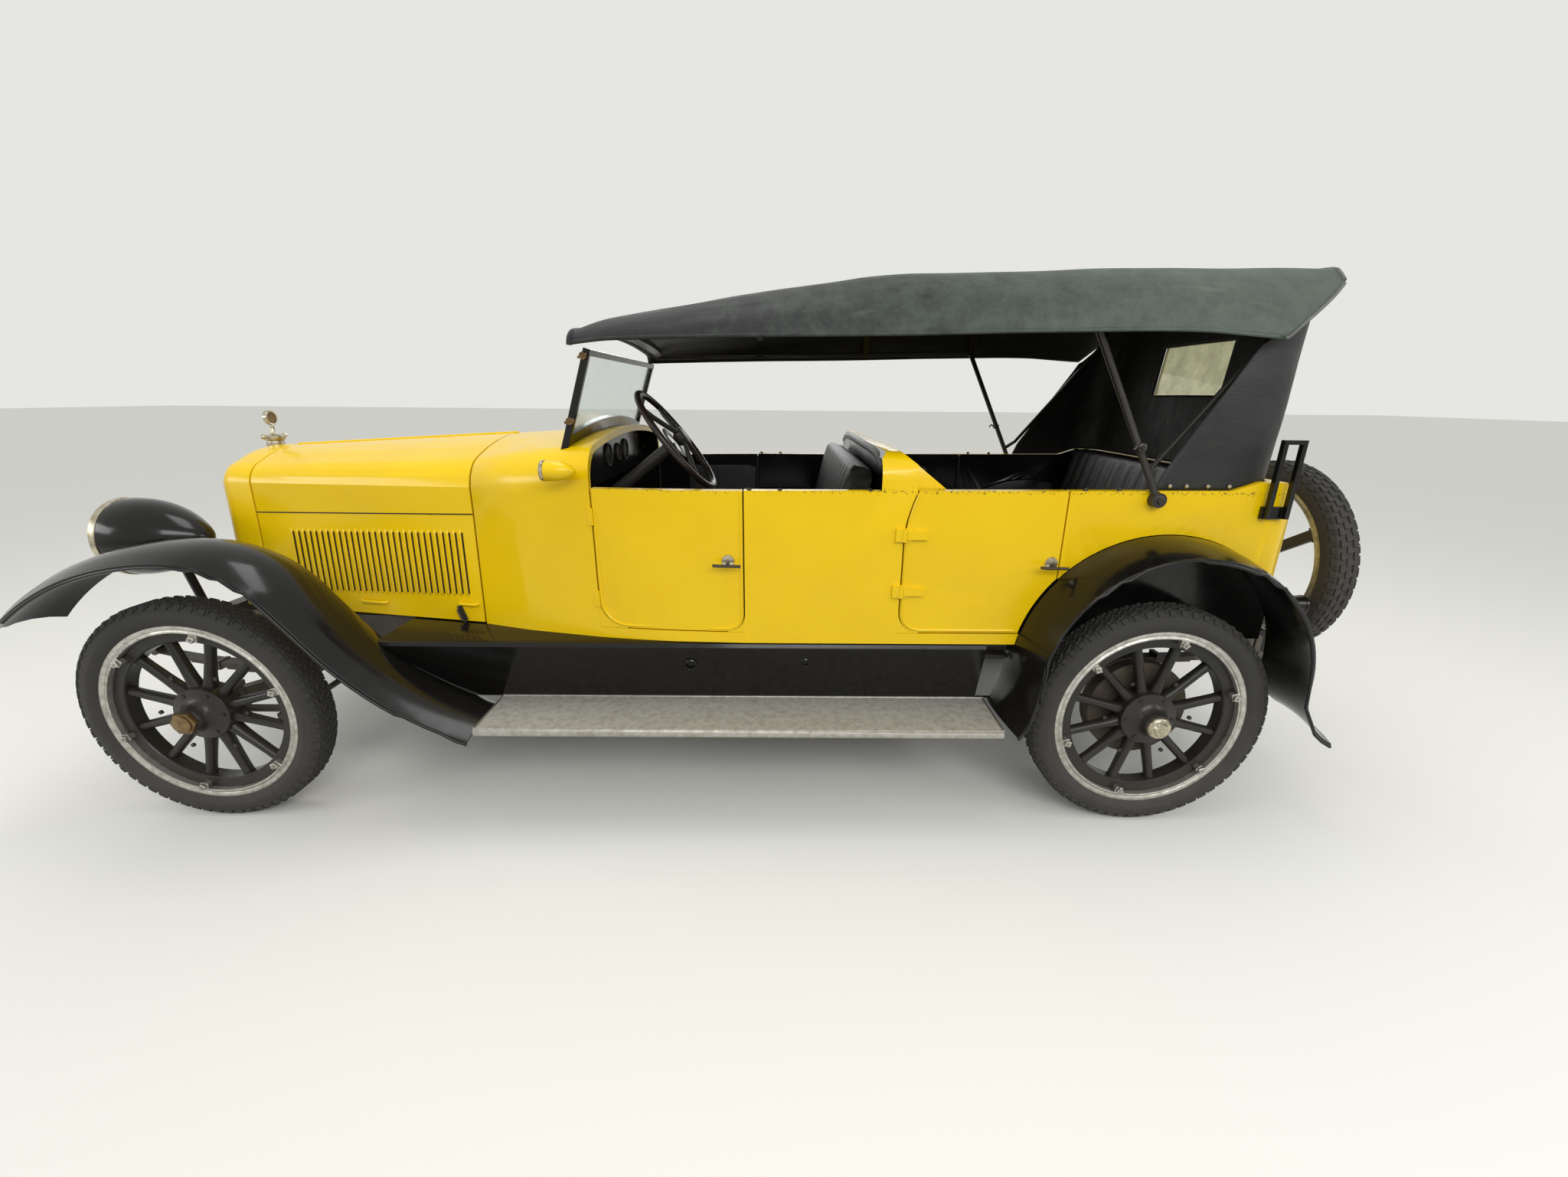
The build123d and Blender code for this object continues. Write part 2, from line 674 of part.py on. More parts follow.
def hood_panels():
    """Left and right halves, each split at the shoulder hinge into a top and a side panel."""
    front = between(NOSE, TAIL, RADIATOR_REAR + HOOD_GAP)
    rear = between(NOSE, TAIL, COWL_FRONT - HOOD_GAP)
    shell = arch_shell([front, rear], PANEL)
    left = shell & block((-FAR, FAR), (-FAR, -HINGE_ROD_R - 0.6), (0, FAR))
    seam = ((front[0] - 9, front[4]), (rear[0] + 9, rear[4]))
    for name, shift, limit in (("top", SEAM_HALF, FAR), ("side", -SEAM_HALF, 0)):
        edge = [(x, z + shift) for x, z in seam]
        piece = left & side_cut(edge + [(seam[1][0], limit), (seam[0][0], limit)])
        write(f"hood_left_{name}", piece)
        write(f"hood_right_{name}", flip(piece))
    ends = ((RADIATOR_REAR + RUN, 0, NOSE[9] + ROD_RISE), (COWL_FRONT - RUN, 0, TAIL[9] + ROD_RISE))
    write("hood_hinge_rod", rod(*ends, HINGE_ROD_R))


def radiator():
    """The painted shell with its rounded nose, the finned core in it, and the filler with its gauge."""
    nose = [arch((RADIATOR_FRONT + back,) + NOSE[1:], inset) for back, inset in NOSE_ROUND]
    shell = loft(nose + [arch(NOSE)], ruled=True)
    sides = (-FAR, FAR)

    def inside(start, end, inset, below=0):
        rows = [(x,) + NOSE[1:] for x in (start, end)]
        return loft([arch(row, inset, below) for row in rows], ruled=True)

    shell -= inside(RADIATOR_FRONT + 30, RADIATOR_REAR + 1, RADIATOR_WALL, 2)
    opening = inside(RADIATOR_FRONT - 1, RADIATOR_FRONT + 40, RADIATOR_LIP)
    shell -= opening & block(sides, sides, (BODY_BOTTOM + 40, FAR))
    core = inside(RADIATOR_FRONT + 31, RADIATOR_REAR - 10, RADIATOR_WALL + 1)
    write("radiator_shell", shell)
    write("radiator_core", core & block(sides, sides, (RAIL_TOP + 6, FAR)))
    x = RADIATOR_FRONT + 34
    top = NOSE[9]
    cap = Pos(x, 0, top + 10) * Cylinder(30, 24)
    cap += Pos(x, 0, top + 30) * Cylinder(38, 16)
    cap += Pos(x, 0, top + 32) * Box(14, 130, 14)
    cap += Pos(x, 0, top + 60) * Cylinder(8, 60)
    cap += Pos(x, 0, GAUGE_Z) * Rot(0, 90, 0) * Cylinder(29, 16)
    write("radiator_cap", cap - shell)


# Body

def cowl_outer(grow=0):
    """The scuttle's outer form, or a copy that is larger by grow."""
    return loft([arch(row, -grow) for row in COWL_ROWS], ruled=True)


def cowl():
    """The scuttle between hood and front doors, with the firewall and the front doors' hinges."""
    outer = cowl_outer()
    shell = outer - loft([arch(row, COWL_WALL, 2) for row in COWL_ROWS], ruled=True)
    firewall = outer & block((COWL_FRONT, COWL_FRONT + 12), (-FAR, FAR), (BODY_BOTTOM, FAR))
    hinges = door_hinges(FRONT_DOOR[0], FRONT_HINGE)
    return shell + firewall + hinges + flip(hinges) - column_path(COLUMN_R + 12)


def column_point(along):
    """A point on the steering column's axis, so far down from the wheel's centre."""
    angle = math.radians(COLUMN_ANGLE)
    x, y, z = WHEEL_CENTRE
    return (x - along * math.cos(angle), y, z - along * math.sin(angle))


def column_path(radius):
    """The space that the steering column takes through a panel."""
    return rod(column_point(60), column_point(1150), radius)


def tub_outline(half, thick=0):
    """The plan of the rear tub: straight sides, rounded back corners and a back."""
    back = BACK_X - thick
    side = half - thick
    corner = BACK_CORNER_R - thick
    start = REAR_DOOR[1]
    edges = [
        Line((start, -side), (back - corner, -side)),
        CenterArc((back - corner, -side + corner), corner, -90, 90),
        Line((back, -side + corner), (back, side - corner)),
        CenterArc((back - corner, side - corner), corner, 0, 90),
        Line((back - corner, side), (start, side)),
        Line((start, side), (start, -side)),
    ]
    return make_face(edges)


def rear_tub():
    """The rear quarters and back in one U, housed out below for the wheels, with the seat's riser."""
    top = TUB_TOP[-1][1]
    tub = tub_form(0, BODY_BOTTOM, top) - tub_form(WALL, BODY_BOTTOM - 1, top + 1)
    door_x = REAR_DOOR[1]
    tub -= side_cut([(door_x - 1, belt(door_x)), *TUB_TOP, (TUB_TOP[-1][0], top + 5), (door_x - 1, top + 5)])
    reach = FENDER_INNER - HOUSE_WALL / 2
    seat_x = REAR_SEAT[0] + 20
    tub += block((seat_x, seat_x + RISER), (-reach, reach), (FLOOR_TOP + RUN, CUSHION_Z - RUN))
    inboard = 1 - FENDER_INNER + HOUSE_WALL
    heights = (BODY_BOTTOM, top)
    beside_door = block((door_x - 200, door_x + 2), (-BODY_HALF + WALL + DOOR_GAP + 1, inboard), heights)
    behind_door = block((door_x + 2, BACK_X - WALL / 2), (-BODY_HALF + WALL / 2, inboard), heights)
    house = hoop(FENDER_R + HOUSE_WALL, -BODY_HALF, -FENDER_INNER + HOUSE_WALL)
    half = tub & block((0, 3 * FAR), (-FAR, 0), (0, FAR))
    half += house & (beside_door + behind_door)
    half -= wheel_house(RUN)
    return half + flip(half)


def tub_form(inset, z_low, z_high):
    """The rear tub's outside, drawn in by inset, with its back leaning forward above its waist."""
    form = extrude(Plane.XY.offset(z_low) * tub_outline(BODY_HALF, inset), amount=z_high - z_low)
    slope = [(BACK_X - inset + shift, z) for shift, z in BACK_PROFILE]
    (x0, z0), (x1, z1) = slope[1:]
    over = z_high + 20
    slope.append((x1 + (x1 - x0) / (z1 - z0) * (over - z1), over))
    return form - side_cut([*slope, (BACK_X + 1, over), (BACK_X + 1, slope[0][1])])


def wheel_house(clear):
    """The side-view shape under the left rear fender's crown, carried across the fender's width."""
    return hoop(FENDER_R + clear, -FENDER_OUT - 50, -FENDER_INNER + clear)


def centre_body():
    """The panels between the doors, the sills under all four doors, the seat riser and the hump."""
    low, high = FRONT_DOOR[1], REAR_DOOR[0]
    inside = BODY_HALF - WALL
    side = block((low, high), (-BODY_HALF, -inside), (BODY_BOTTOM, belt(2100)))
    stations = (FRONT_DOOR[0] + RUN, *PLAN_STATIONS[:2], BODY_WIDEST_X, REAR_DOOR[1] - RUN)
    sill = wall_slab(stations, BODY_BOTTOM, SILL_TOP)
    sweep = [(high + x, z) for x, z in DOOR_SWEEP]
    side += side_cut([(high - 1, 1050), *sweep, (high - 1, sweep[-1][1])], -BODY_HALF, -inside)
    half = side + sill + door_hinges(REAR_DOOR[0], REAR_HINGE) - wheel_house(RUN)
    body = half + flip(half)
    body += (side_cut(HUMP) & hump_form(0)) - (side_cut(HUMP_INSIDE) & hump_form(HUMP_WALL))
    back_x = HUMP[0][0]
    body += block((back_x, back_x + SEAT_WALL), (-inside - 1, inside + 1), (FLOOR_TOP + RUN, 1200))
    riser_x = FRONT_SEAT[0] + 15
    reach = body_half(riser_x) - WALL - 6
    heights = (FLOOR_TOP + RUN, CUSHION_Z - RUN)
    body += block((riser_x, riser_x + RISER), (-reach, reach), heights)
    for turn in (-1, 1):
        body += block((riser_x, back_x + 5), spread(turn, reach - 14, reach), heights)
        body += block((low + 5, low + 40), spread(turn, reach - 4, inside + 1), heights)
    return body


def hump_form(inset):
    """The section across the hump, drawn in by inset, and narrower where it lies inside the rear doors."""
    form = saddle(BODY_HALF - inset, HUMP[3][1] - inset, HUMP_CORNER_R - inset)
    start = REAR_DOOR[0] + DOOR_SWEEP[-1][0] - inset
    beside = block((start, 2 * FAR), (BODY_HALF - WALL - DOOR_GAP - 1 - inset, FAR), (0, FAR))
    return form - beside - flip(beside)


def hinge_axis(door_x, radius):
    """Plan position of a left door's hinge axis, in the middle of its gap and mostly proud of the skin."""
    x = door_x + DOOR_GAP / 2
    return x, -body_half(x) - radius + HINGE_SINK


def door_hinges(door_x, hinge):
    """The body's half of a left door's two hinges: barrels on the axis with leaves ahead of them."""
    radius, length, heights = hinge
    x, y = hinge_axis(door_x, radius)
    skin = -body_half(door_x)
    bars = None
    for z in heights:
        span = (z - length / 2, z + length / 2)
        leaf = block((door_x - 3 * radius, x), (y - radius / 2, skin + HINGE_SINK), span)
        bar = Pos(x, y, z) * Cylinder(radius, length) + leaf
        bars = bar if bars is None else bars + bar
    return bars


def door_hinge_space(door_x, hinge):
    """What a left door leaves free round the barrels of its hinges."""
    radius, length, heights = hinge
    x, y = hinge_axis(door_x, radius)
    holes = [Pos(x, y, z) * Cylinder(radius + RUN, length + 2 * DOOR_GAP) for z in heights]
    return holes[0] + holes[1]


def wall_slab(stations, z_low, z_high):
    """A stretch of the left body wall that follows the body's plan."""
    skin = [(x, -body_half(x)) for x in stations]
    inner = [(x, y + WALL) for x, y in reversed(skin)]
    return plan_cut(skin + inner, z_low, z_high)


def saddle(half, top, corner):
    """A long bar across the car's section whose upper corners are round."""
    foot = 1000
    face = make_face(
        [
            Line((-half, foot), (half, foot)),
            Line((half, foot), (half, top - corner)),
            CenterArc((half - corner, top - corner), corner, 0, 90),
            Line((half - corner, top), (corner - half, top)),
            CenterArc((corner - half, top - corner), corner, 90, 90),
            Line((-half, top - corner), (-half, foot)),
        ]
    )
    return extrude(across(HUMP[0][0] - 100) * face, amount=500)


def floor():
    """The floor boards between the walls, with the sloping toe board at the front."""
    front_x = COWL_FRONT + 13
    right = [(front_x, BODY_FRONT_HALF - COWL_WALL - 8), (1100, 526)]
    for x in (FRONT_DOOR[0], *PLAN_STATIONS[:2], BODY_WIDEST_X, BACK_X - WALL - BACK_CORNER_R):
        right.append((x, body_half(x) - WALL - 1))
    right.append((BACK_X - WALL - 80, 470))
    left = [(x, -y) for x, y in reversed(right)]
    boards = plan_cut(right + left, BODY_BOTTOM, FLOOR_TOP)
    x1, z1 = TOE_BOARD[1]
    high = toe_height(front_x)
    boards += side_cut([(front_x, high), (x1, z1), (x1 - 45, z1), (front_x, high - 27)], -430, 430)
    boards -= column_path(COLUMN_R + 12)
    clear = HOUSE_WALL + RUN
    house = hoop(FENDER_R + clear, -FENDER_OUT, -FENDER_INNER + clear)
    return boards - house - flip(house)


def door(span, corner_front, corner_rear):
    """A left door as thick as the wall, following the body's plan, with rounded lower corners."""
    x0, x1 = span[0] + DOOR_GAP, span[1] - DOOR_GAP
    stations = [x0] + [x for x in PLAN_STATIONS if x0 < x < x1] + [x1]
    slab = wall_slab(stations, DOOR_BOTTOM, belt(x1) + 50)
    outline = Polyline((x0, DOOR_BOTTOM), (x1, DOOR_BOTTOM), (x1, belt(x1)), (x0, belt(x0)), close=True)
    face = (Plane.XZ * make_face(outline)).moved(Location((0, -FENDER_OUT, 0)))
    face = fillet(face.vertices().sort_by(Axis.Z)[:2].sort_by(Axis.X)[0], corner_front)
    if corner_rear:
        last = face.vertices().sort_by(Axis.Z)[:3].sort_by(Axis.X)[-1]
        face = fillet(last, corner_rear)
    return slab & extrude(face, amount=400, dir=(0, 1, 0))


def doors():
    """Four doors, all hung on their front edges; the rear ones are cut along the fender's line."""
    x = REAR_DOOR[0]
    front = door(FRONT_DOOR, 96, 56) - door_hinge_space(FRONT_DOOR[0], FRONT_HINGE)
    rear = door(REAR_DOOR, 70, 0) - wheel_house(DOOR_GAP)
    sweep = [(x + DOOR_GAP + back + 0.5, z) for back, z in DOOR_SWEEP]
    rear -= side_cut([(x, 1050), *sweep, (sweep[-1][0], 1300), (x, 1300)])
    radius, length, heights = REAR_HINGE
    axis_x, axis_y = hinge_axis(x, radius)
    for z in heights:
        span = (z - length / 3, z + length / 3)
        rear += block((axis_x, x + 9 * radius), (axis_y - radius / 2, HINGE_SINK - BODY_HALF), span)
    rear -= door_hinge_space(x, REAR_HINGE)
    for name, piece in (("front", front), ("rear", rear)):
        write(f"{name}_left_door", piece)
        write(f"{name}_right_door", flip(piece))


def instrument_board():
    """The board under the cowl's rear edge, with the column passing below it."""
    rows = [between(COWL_MID, COWL_REAR, x) for x in BOARD_X]
    plate = loft([arch(row, COWL_WALL + RUN) for row in rows], ruled=True)
    plate &= block((0, FAR), (-FAR, FAR), (1150, FAR))
    return plate - column_path(COLUMN_R + 10)


def seats():
    """Front and rear seats: a cushion and a back each, as plain closed blocks with sloped fronts."""
    low, high = CUSHION_Z, CUSHION_TOP
    wall_x = HUMP[0][0] - RUN
    room = tub_form(WALL + RUN, BODY_BOTTOM, 1300)
    front_rest = [(wall_x, 1258), (wall_x, low)]
    rear_rest = [(BACK_X, 1220), (BACK_X, low)]
    for name, (x0, x1), top, rest in (
        ("front_seat", FRONT_SEAT, 1268, front_rest),
        ("rear_seat", REAR_SEAT, 1244, rear_rest),
    ):
        seat = [(x0, low), (x0 - 12, high - 20), (x0 + 30, high), (x1 - 118, high - 25), (x1 - 86, low)]
        face = [(x1 - 86 + RUN, low), (x1 - 118 + RUN, high - 25), (x1 - 66, top - 30), (x1 - 30, top)]
        back = side_cut(face + rest, -SEAT_HALF, SEAT_HALF)
        if name == "rear_seat":
            back &= room
        write(name, side_cut(seat, -SEAT_HALF, SEAT_HALF), back)


# Controls


def steering_column():
    """The column tube with its foot in the steering box on the left rail."""
    foot = column_point(COLUMN_LENGTH)
    tube = rod(column_point(37 + RUN), foot, COLUMN_R)
    box_y = (-RAIL_Y - RAIL_WIDTH, -RAIL_Y + 40)
    return tube + block((foot[0] - 85, foot[0] + 20), box_y, (BODY_BOTTOM, foot[2] + 40))


def steering_wheel():
    """A wood rim on a four-armed spider, square to the column."""
    place = Pos(*WHEEL_CENTRE) * Rot(0, 90 - COLUMN_ANGLE, 0)
    rim = revolve(Plane.XZ * Pos(STEER_R, 0) * RegularPolygon(15, 6), Axis.Z)
    spider = Pos(0, 0, -24) * Cylinder(34, 26)
    arm = Plane.XZ * make_face(Polyline((20, -30), (20, -16), (STEER_R - 8, 5), (STEER_R - 8, -5), close=True))
    arm = extrude(arm, amount=9, both=True)
    for turn in range(4):
        spider += Rot(0, 0, 45 + 90 * turn) * arm
    return place * (rim + spider)


def toe_height(x):
    """Height of the toe board's upper face."""
    (x0, z0), (x1, z1) = TOE_BOARD
    return z0 + (z1 - z0) * (x - x0) / (x1 - x0)


def pedals_and_levers():
    """Clutch and brake pedals, the gear lever on its dome and the hand brake lever on its quadrant."""
    pieces = []
    for y in PEDALS_Y:
        foot = [(x, toe_height(x) + 1.2 * RUN) for x in (1204, 1226)]
        arm = side_cut([*foot, (1184, 808), (1164, 808)], y - 6, y + 6)
        pieces.append(arm + Pos(1172, y, 806) * Rot(0, 30, 0) * Box(14, 70, 90))
    foot = FLOOR_TOP + RUN
    lever = Pos(1400, 0, foot + 20) * Cone(42, 22, 40)
    lever += rod((1400, 0, foot + 30), (1440, -30, 1010), 10)
    lever += Pos(1440, -30, 1018) * Cylinder(22, 34)
    brake = side_cut([(1478, foot), (1540, foot), (1530, foot + 60), (1446, 1040), (1424, 1040)], 56, 68)
    return pieces + [lever, brake]


# Fenders, aprons and boards


def fender_strip(path, drops, widths):
    """A crowned strip along a side-view line of arcs and straights: each stretch turned or extruded.

    drops are how far the outer and inner edges lie below the crown line; widths are their distances
    from the middle of the car with the crown's between them.
    """
    outer, crown, inner = widths
    low_outer, low_inner = (-outer, -drops[0]), (-inner, -drops[1])
    strip = None
    for edge in path:
        placed = Plane.XZ * edge
        tangent = placed % 0
        plane = Plane(origin=placed @ 0, x_dir=(0, 1, 0), z_dir=tangent)
        over = arc(low_outer, (-crown, 0), low_inner, 6)
        under = [(y, z - SHEET) for y, z in reversed(over)]
        section = plane * make_face(Polyline(*over, *under, close=True))
        if placed.geom_type == GeomType.LINE:
            part = extrude(section, amount=placed.length, dir=tangent)
        else:
            swing = math.degrees(placed.length / placed.radius)
            turn = 1 if tangent.cross(placed % 1).Y > 0 else -1
            part = revolve(section, Axis(placed.arc_center, (0, turn, 0)), swing)
        strip = part if strip is None else strip + part
    return strip


def front_fender():
    """The left front fender: up over the wheel and down in a reverse curve to the running board."""
    first = ThreePointArc(*FRONT_CROWN[:3])
    second = TangentArc(*FRONT_CROWN[2:], tangent=first % 1)
    slope = Line(second @ 1, second @ 1 + (second % 1) * 165)
    last = TangentArc(slope @ 1, (BOARD_SPAN[0] - 2, BOARD_TOP - 2), tangent=slope % 1)
    strip = fender_strip([first, second, slope, last], (46, 34), (FENDER_OUT - 1, FRONT_CROWN_Y, FENDER_INNER))
    corner_x, corner_y = FRONT_NOSE_R - FRONT_OVERHANG, FRONT_NOSE_R - FENDER_OUT
    trim = block((-FAR, corner_x), (-FAR, corner_y), (0, FAR))
    trim -= Pos(corner_x, corner_y, FAR / 2) * Cylinder(FRONT_NOSE_R, FAR + 2)
    shoulder = apron_shoulder(BODY_BOTTOM, 0.5)
    behind = [(-200, BODY_BOTTOM), *shoulder, (-BOARD_INNER - 6.5, BOARD_TOP - 30), (-200, BOARD_TOP - 30)]
    inboard = extrude(across(APRON_SPAN[0] - RUN) * make_face(Polyline(*behind, close=True)), amount=600)
    return strip - trim - inboard


def apron_shoulder(top, out=0):
    """The apron's rounded upper edge as (y, height) points, from its ledge to its face."""
    y = -APRON_TOP_Y
    return [(y + 22, top), (y + 6, top - 5), (y - out, top - 18)]


def hoop(radius, y_low, y_high, foot=300):
    """A rear fender's side-view shape, round above and straight below, carried across."""
    x, z = WHEELBASE, FENDER_Z
    face = make_face(
        [
            Line((x - radius, foot), (x + radius, foot)),
            Line((x + radius, foot), (x + radius, z)),
            ThreePointArc((x + radius, z), (x, z + radius), (x - radius, z)),
            Line((x - radius, z), (x - radius, foot)),
        ]
    )
    placed = (Plane.XZ * face).moved(Location((0, y_low, 0)))
    return extrude(placed, amount=y_high - y_low, dir=(0, 1, 0))


def rear_fender():
    """The left rear fender, round over the wheel, flared ahead of it and swept up behind it."""
    r = FENDER_R - RUN
    reach = r * math.sin(math.radians(45))
    front, top, rear = (WHEELBASE - r, FENDER_Z), (WHEELBASE, FENDER_Z + r), (WHEELBASE + r, FENDER_Z)
    start = (front[0] - 45, FENDER_FOOT_Z)
    flare = TangentArc(front, start, tangent=(0, -1))
    first = ThreePointArc(start, flare @ 0.5, front)
    over = ThreePointArc(front, (WHEELBASE - reach, FENDER_Z + reach), top)
    down = ThreePointArc(top, (WHEELBASE + reach, FENDER_Z + reach), rear)
    tail = TangentArc(rear, (rear[0] + 105, FENDER_FOOT_Z), tangent=(0, -1))
    widths = (FENDER_OUT, REAR_CROWN_Y, FENDER_INNER + RUN)
    return fender_strip([first, over, down, tail], (34, 1.2), widths)


def splash_apron():
    """The left splash apron: a ledge on the rail, a rounded shoulder and a face down to the board."""
    top = BODY_BOTTOM - RUN
    t = LEDGE_THICK
    edge = -APRON_TOP_Y
    foot = (-BOARD_INNER - 6, BOARD_TOP + RUN)
    rail = -RAIL_Y - 2
    outside = [(rail, top), *apron_shoulder(top), foot]
    inside = [(foot[0] + t, foot[1]), (edge + t + 1, top - 20), (edge + 10, top - 9), (edge + 24, top - t)]
    inside.append((rail, top - t))
    face = across(APRON_SPAN[0]) * make_face(Polyline(*outside, *inside, close=True))
    apron = extrude(face, amount=APRON_SPAN[1] - APRON_SPAN[0])
    return apron - block((WHEELBASE - FENDER_R - 90, 2 * FAR), (-FAR, -FENDER_INNER), (0, FAR))


def running_board():
    """The left running board: a board with a folded edge."""
    return block(BOARD_SPAN, (-BOARD_OUTER, -BOARD_INNER), (BOARD_TOP - BOARD_THICK, BOARD_TOP))


# Lamps and windshield


def headlight():
    """The left headlight: a deep bowl behind a flat lens ring, on its post from the frame."""
    bowl = Pos(LAMP_X, -LAMP_Y, LAMP_Z) * Rot(0, 0, -90) * turned(LAMP_PROFILE)
    foot = (LAMP_X, -RAIL_Y - 25, RAIL_TOP + RUN + 6)
    post = rod(foot, (LAMP_X, -LAMP_Y, LAMP_Z - 100), 16)
    return bowl + post + Pos(*foot) * Box(90, 44, 12)


def cowl_lamp(outer):
    """The left cowl lamp: a bullet on a short arm."""
    x, y, z = COWL_LAMP
    bullet = Pos(x, y, z) * Rot(0, 0, -90) * turned(COWL_LAMP_PROFILE)
    return bullet + (block((x - 7, x + 11), (y + 20, y + 80), (z - 22, z - 4)) - outer)


def tail_lamp():
    """A round lamp on a bracket from the spare's left arm."""
    x, y, z = TAIL_LAMP
    lamp = Pos(x, y, z) * Rot(0, 90, 0) * Cylinder(TAIL_LAMP_R, 70)
    foot_z = RAIL_TOP - 24
    arm = block((x - 10, x + 6), (y - 7, y + 7), (foot_z, z - 30))
    return lamp + arm + block((x - 14, x + 10), (y - 7, 18 - SPARE_POST_Y), (foot_z + RUN, foot_z + 10))


def screen_plane():
    """The windshield's own plane: sketch x to the right, y up the glass."""
    rake = math.radians(SCREEN_RAKE)
    return Plane(
        origin=(SCREEN_FOOT[0], 0, SCREEN_FOOT[1]),
        x_dir=(0, 1, 0),
        z_dir=(math.cos(rake), 0, -math.sin(rake)),
    )


def screen_face(inset, low):
    """The windshield's outline from a foot so low: an arched foot, straight sides and top."""
    half = SCREEN_HALF - inset
    high = SCREEN_RISE - inset
    return make_face(
        [
            ThreePointArc((-half, low), (0, low + SCREEN_ARCH), (half, low)),
            Line((half, low), (half, high)),
            Line((half, high), (-half, high)),
            Line((-half, high), (-half, low)),
        ]
    )


def windshield():
    """A raked frame whose foot follows the cowl, and its single light of glass."""
    plane = screen_plane()
    outer = extrude(plane * screen_face(0, -SCREEN_SKIRT), amount=SCREEN_THICK / 2, both=True)
    inner = extrude(plane * screen_face(SCREEN_BAR, 0), amount=SCREEN_THICK / 2 + 2, both=True)
    glass = extrude(plane * screen_face(SCREEN_BAR + RUN, RUN), amount=GLASS / 2, both=True)
    return outer - inner - cowl_outer(RUN), glass


# Top

def top_section(row, inset, drop=3):
    """A canopy section: valance edge, rounded shoulder and crowned roof; an inner one starts lower."""
    x, edge, edge_z, shoulder, shoulder_z, crown = row
    edge, shoulder = edge - inset, shoulder - 0.7 * inset
    shoulder_z, crown = shoulder_z - 0.7 * inset, crown - inset
    low = edge_z - (drop if inset else 0)
    slack, rise = edge - shoulder, shoulder_z - low
    knee = (edge - KNEE[0] * slack, low + KNEE[1] * rise)
    bend = (shoulder + 0.16 * slack, shoulder_z - 0.08 * rise)
    right = [(edge, low), *arc(knee, bend, (shoulder, shoulder_z), 4)]
    roof = arc((shoulder, shoulder_z), (0, crown), (-shoulder, shoulder_z), 10)
    left = [(-y, z) for y, z in reversed(right)]
    return across(x) * make_face(Polyline(*right[:-1], *roof, *left[1:], close=True))


def canopy():
    """The roof of the top: a shell with side valances, its rear edge cut on a slant."""
    shell = loft([top_section(row, 0) for row in TOP_ROWS], ruled=True) - top_inside(CLOTH)
    low, high = SLANT
    shell -= side_cut([low, high, (high[0], 1600), (low[0], 1600)])
    return shell - side_cut([(3440, 1600), (3440, 1664), low, (3600, 1640), (3600, 1600)])


def top_inside(inset, drop=3):
    """The space under the canopy, drawn in by inset and carried so far below the valance's edge."""
    first, last = TOP_ROWS[0], TOP_ROWS[-1]
    start = between(first, TOP_ROWS[1], first[0] + CLOTH)
    rows = [start, *TOP_ROWS[1:-1], (last[0] - CLOTH,) + last[1:]]
    return loft([top_section(row, inset, drop) for row in rows], ruled=True)


def curtain_form(inset, z_low, z_high):
    """The curtain's outside, drawn in by inset: a rounded back that leans and narrows to the top."""
    faces = []
    corner = CURTAIN_CORNER_R - inset
    for (x, width, _), z in ((CURTAIN_LOW, z_low), (CURTAIN_TOP, z_high)):
        back, half, start = x - inset, width - inset, CURTAIN_FRONT - min(inset, 1)
        slack = (1 - math.sqrt(0.5)) * corner
        right = arc((back, half - corner), (back - slack, half - slack), (back - corner, half), 6)
        right.append((start, half))
        left = [(x, -y) for x, y in reversed(right)]
        faces.append(Plane.XY.offset(z) * make_face(Polyline(*right, *left, close=True)))
    return loft(faces, ruled=True)


def back_curtain():
    """The back curtain and the quarter curtains in one, with the rear light's opening."""
    low, high = CURTAIN_LOW[2], CURTAIN_TOP[2]
    curtain = curtain_form(0, low, high) - curtain_form(CURTAIN, low - 1, high + 1)
    ahead, slant = CURTAIN_FRONT - 30, [(x, z - 0.5) for x, z in SLANT]
    curtain -= side_cut([*CURTAIN_EDGE, (ahead, slant[0][1]), (ahead, low - 10)])
    curtain -= side_cut([(ahead, slant[0][1]), *slant, (slant[1][0], FAR), (ahead, FAR)])
    rail = [(ahead, belt(ahead)), *TUB_TOP, (BACK_X, TUB_TOP[-1][1])]
    curtain -= side_cut([(x, z + RUN) for x, z in rail] + [(BACK_X, low - 90), (ahead, low - 90)])
    width, heights = WINDOW
    return curtain - block((CURTAIN_TOP[0] - 190, BACK_X), (-width / 2, width / 2), heights)


def rear_pane():
    """The celluloid light in the back curtain."""
    width, (low, high) = WINDOW
    lean = (CURTAIN_TOP[0] - CURTAIN_LOW[0]) / (CURTAIN_TOP[2] - CURTAIN_LOW[2])
    foot = CURTAIN_LOW[0] - 2 * PANE
    points = [(foot + lean * (z - CURTAIN_LOW[2]), z) for z in (low + RUN, high - RUN)]
    return side_cut(points + [(x + PANE, z) for x, z in reversed(points)], RUN - width / 2, width / 2 - RUN)


def bow_foot(station):
    """The strap's place inside the valance at a station: its distance to the middle and its height."""
    rows = zip(TOP_ROWS, TOP_ROWS[1:])
    row = next(between(a, b, station) for a, b in rows if a[0] <= station <= b[0])
    _, edge, edge_z, shoulder, shoulder_z, _ = row
    width, height = STRAP
    low = edge_z + 10
    lean = KNEE[0] * (edge - shoulder) / (KNEE[1] * (shoulder_z - edge_z))
    return edge - lean * (low + height - edge_z) - CLOTH - width / 2 - 3, low


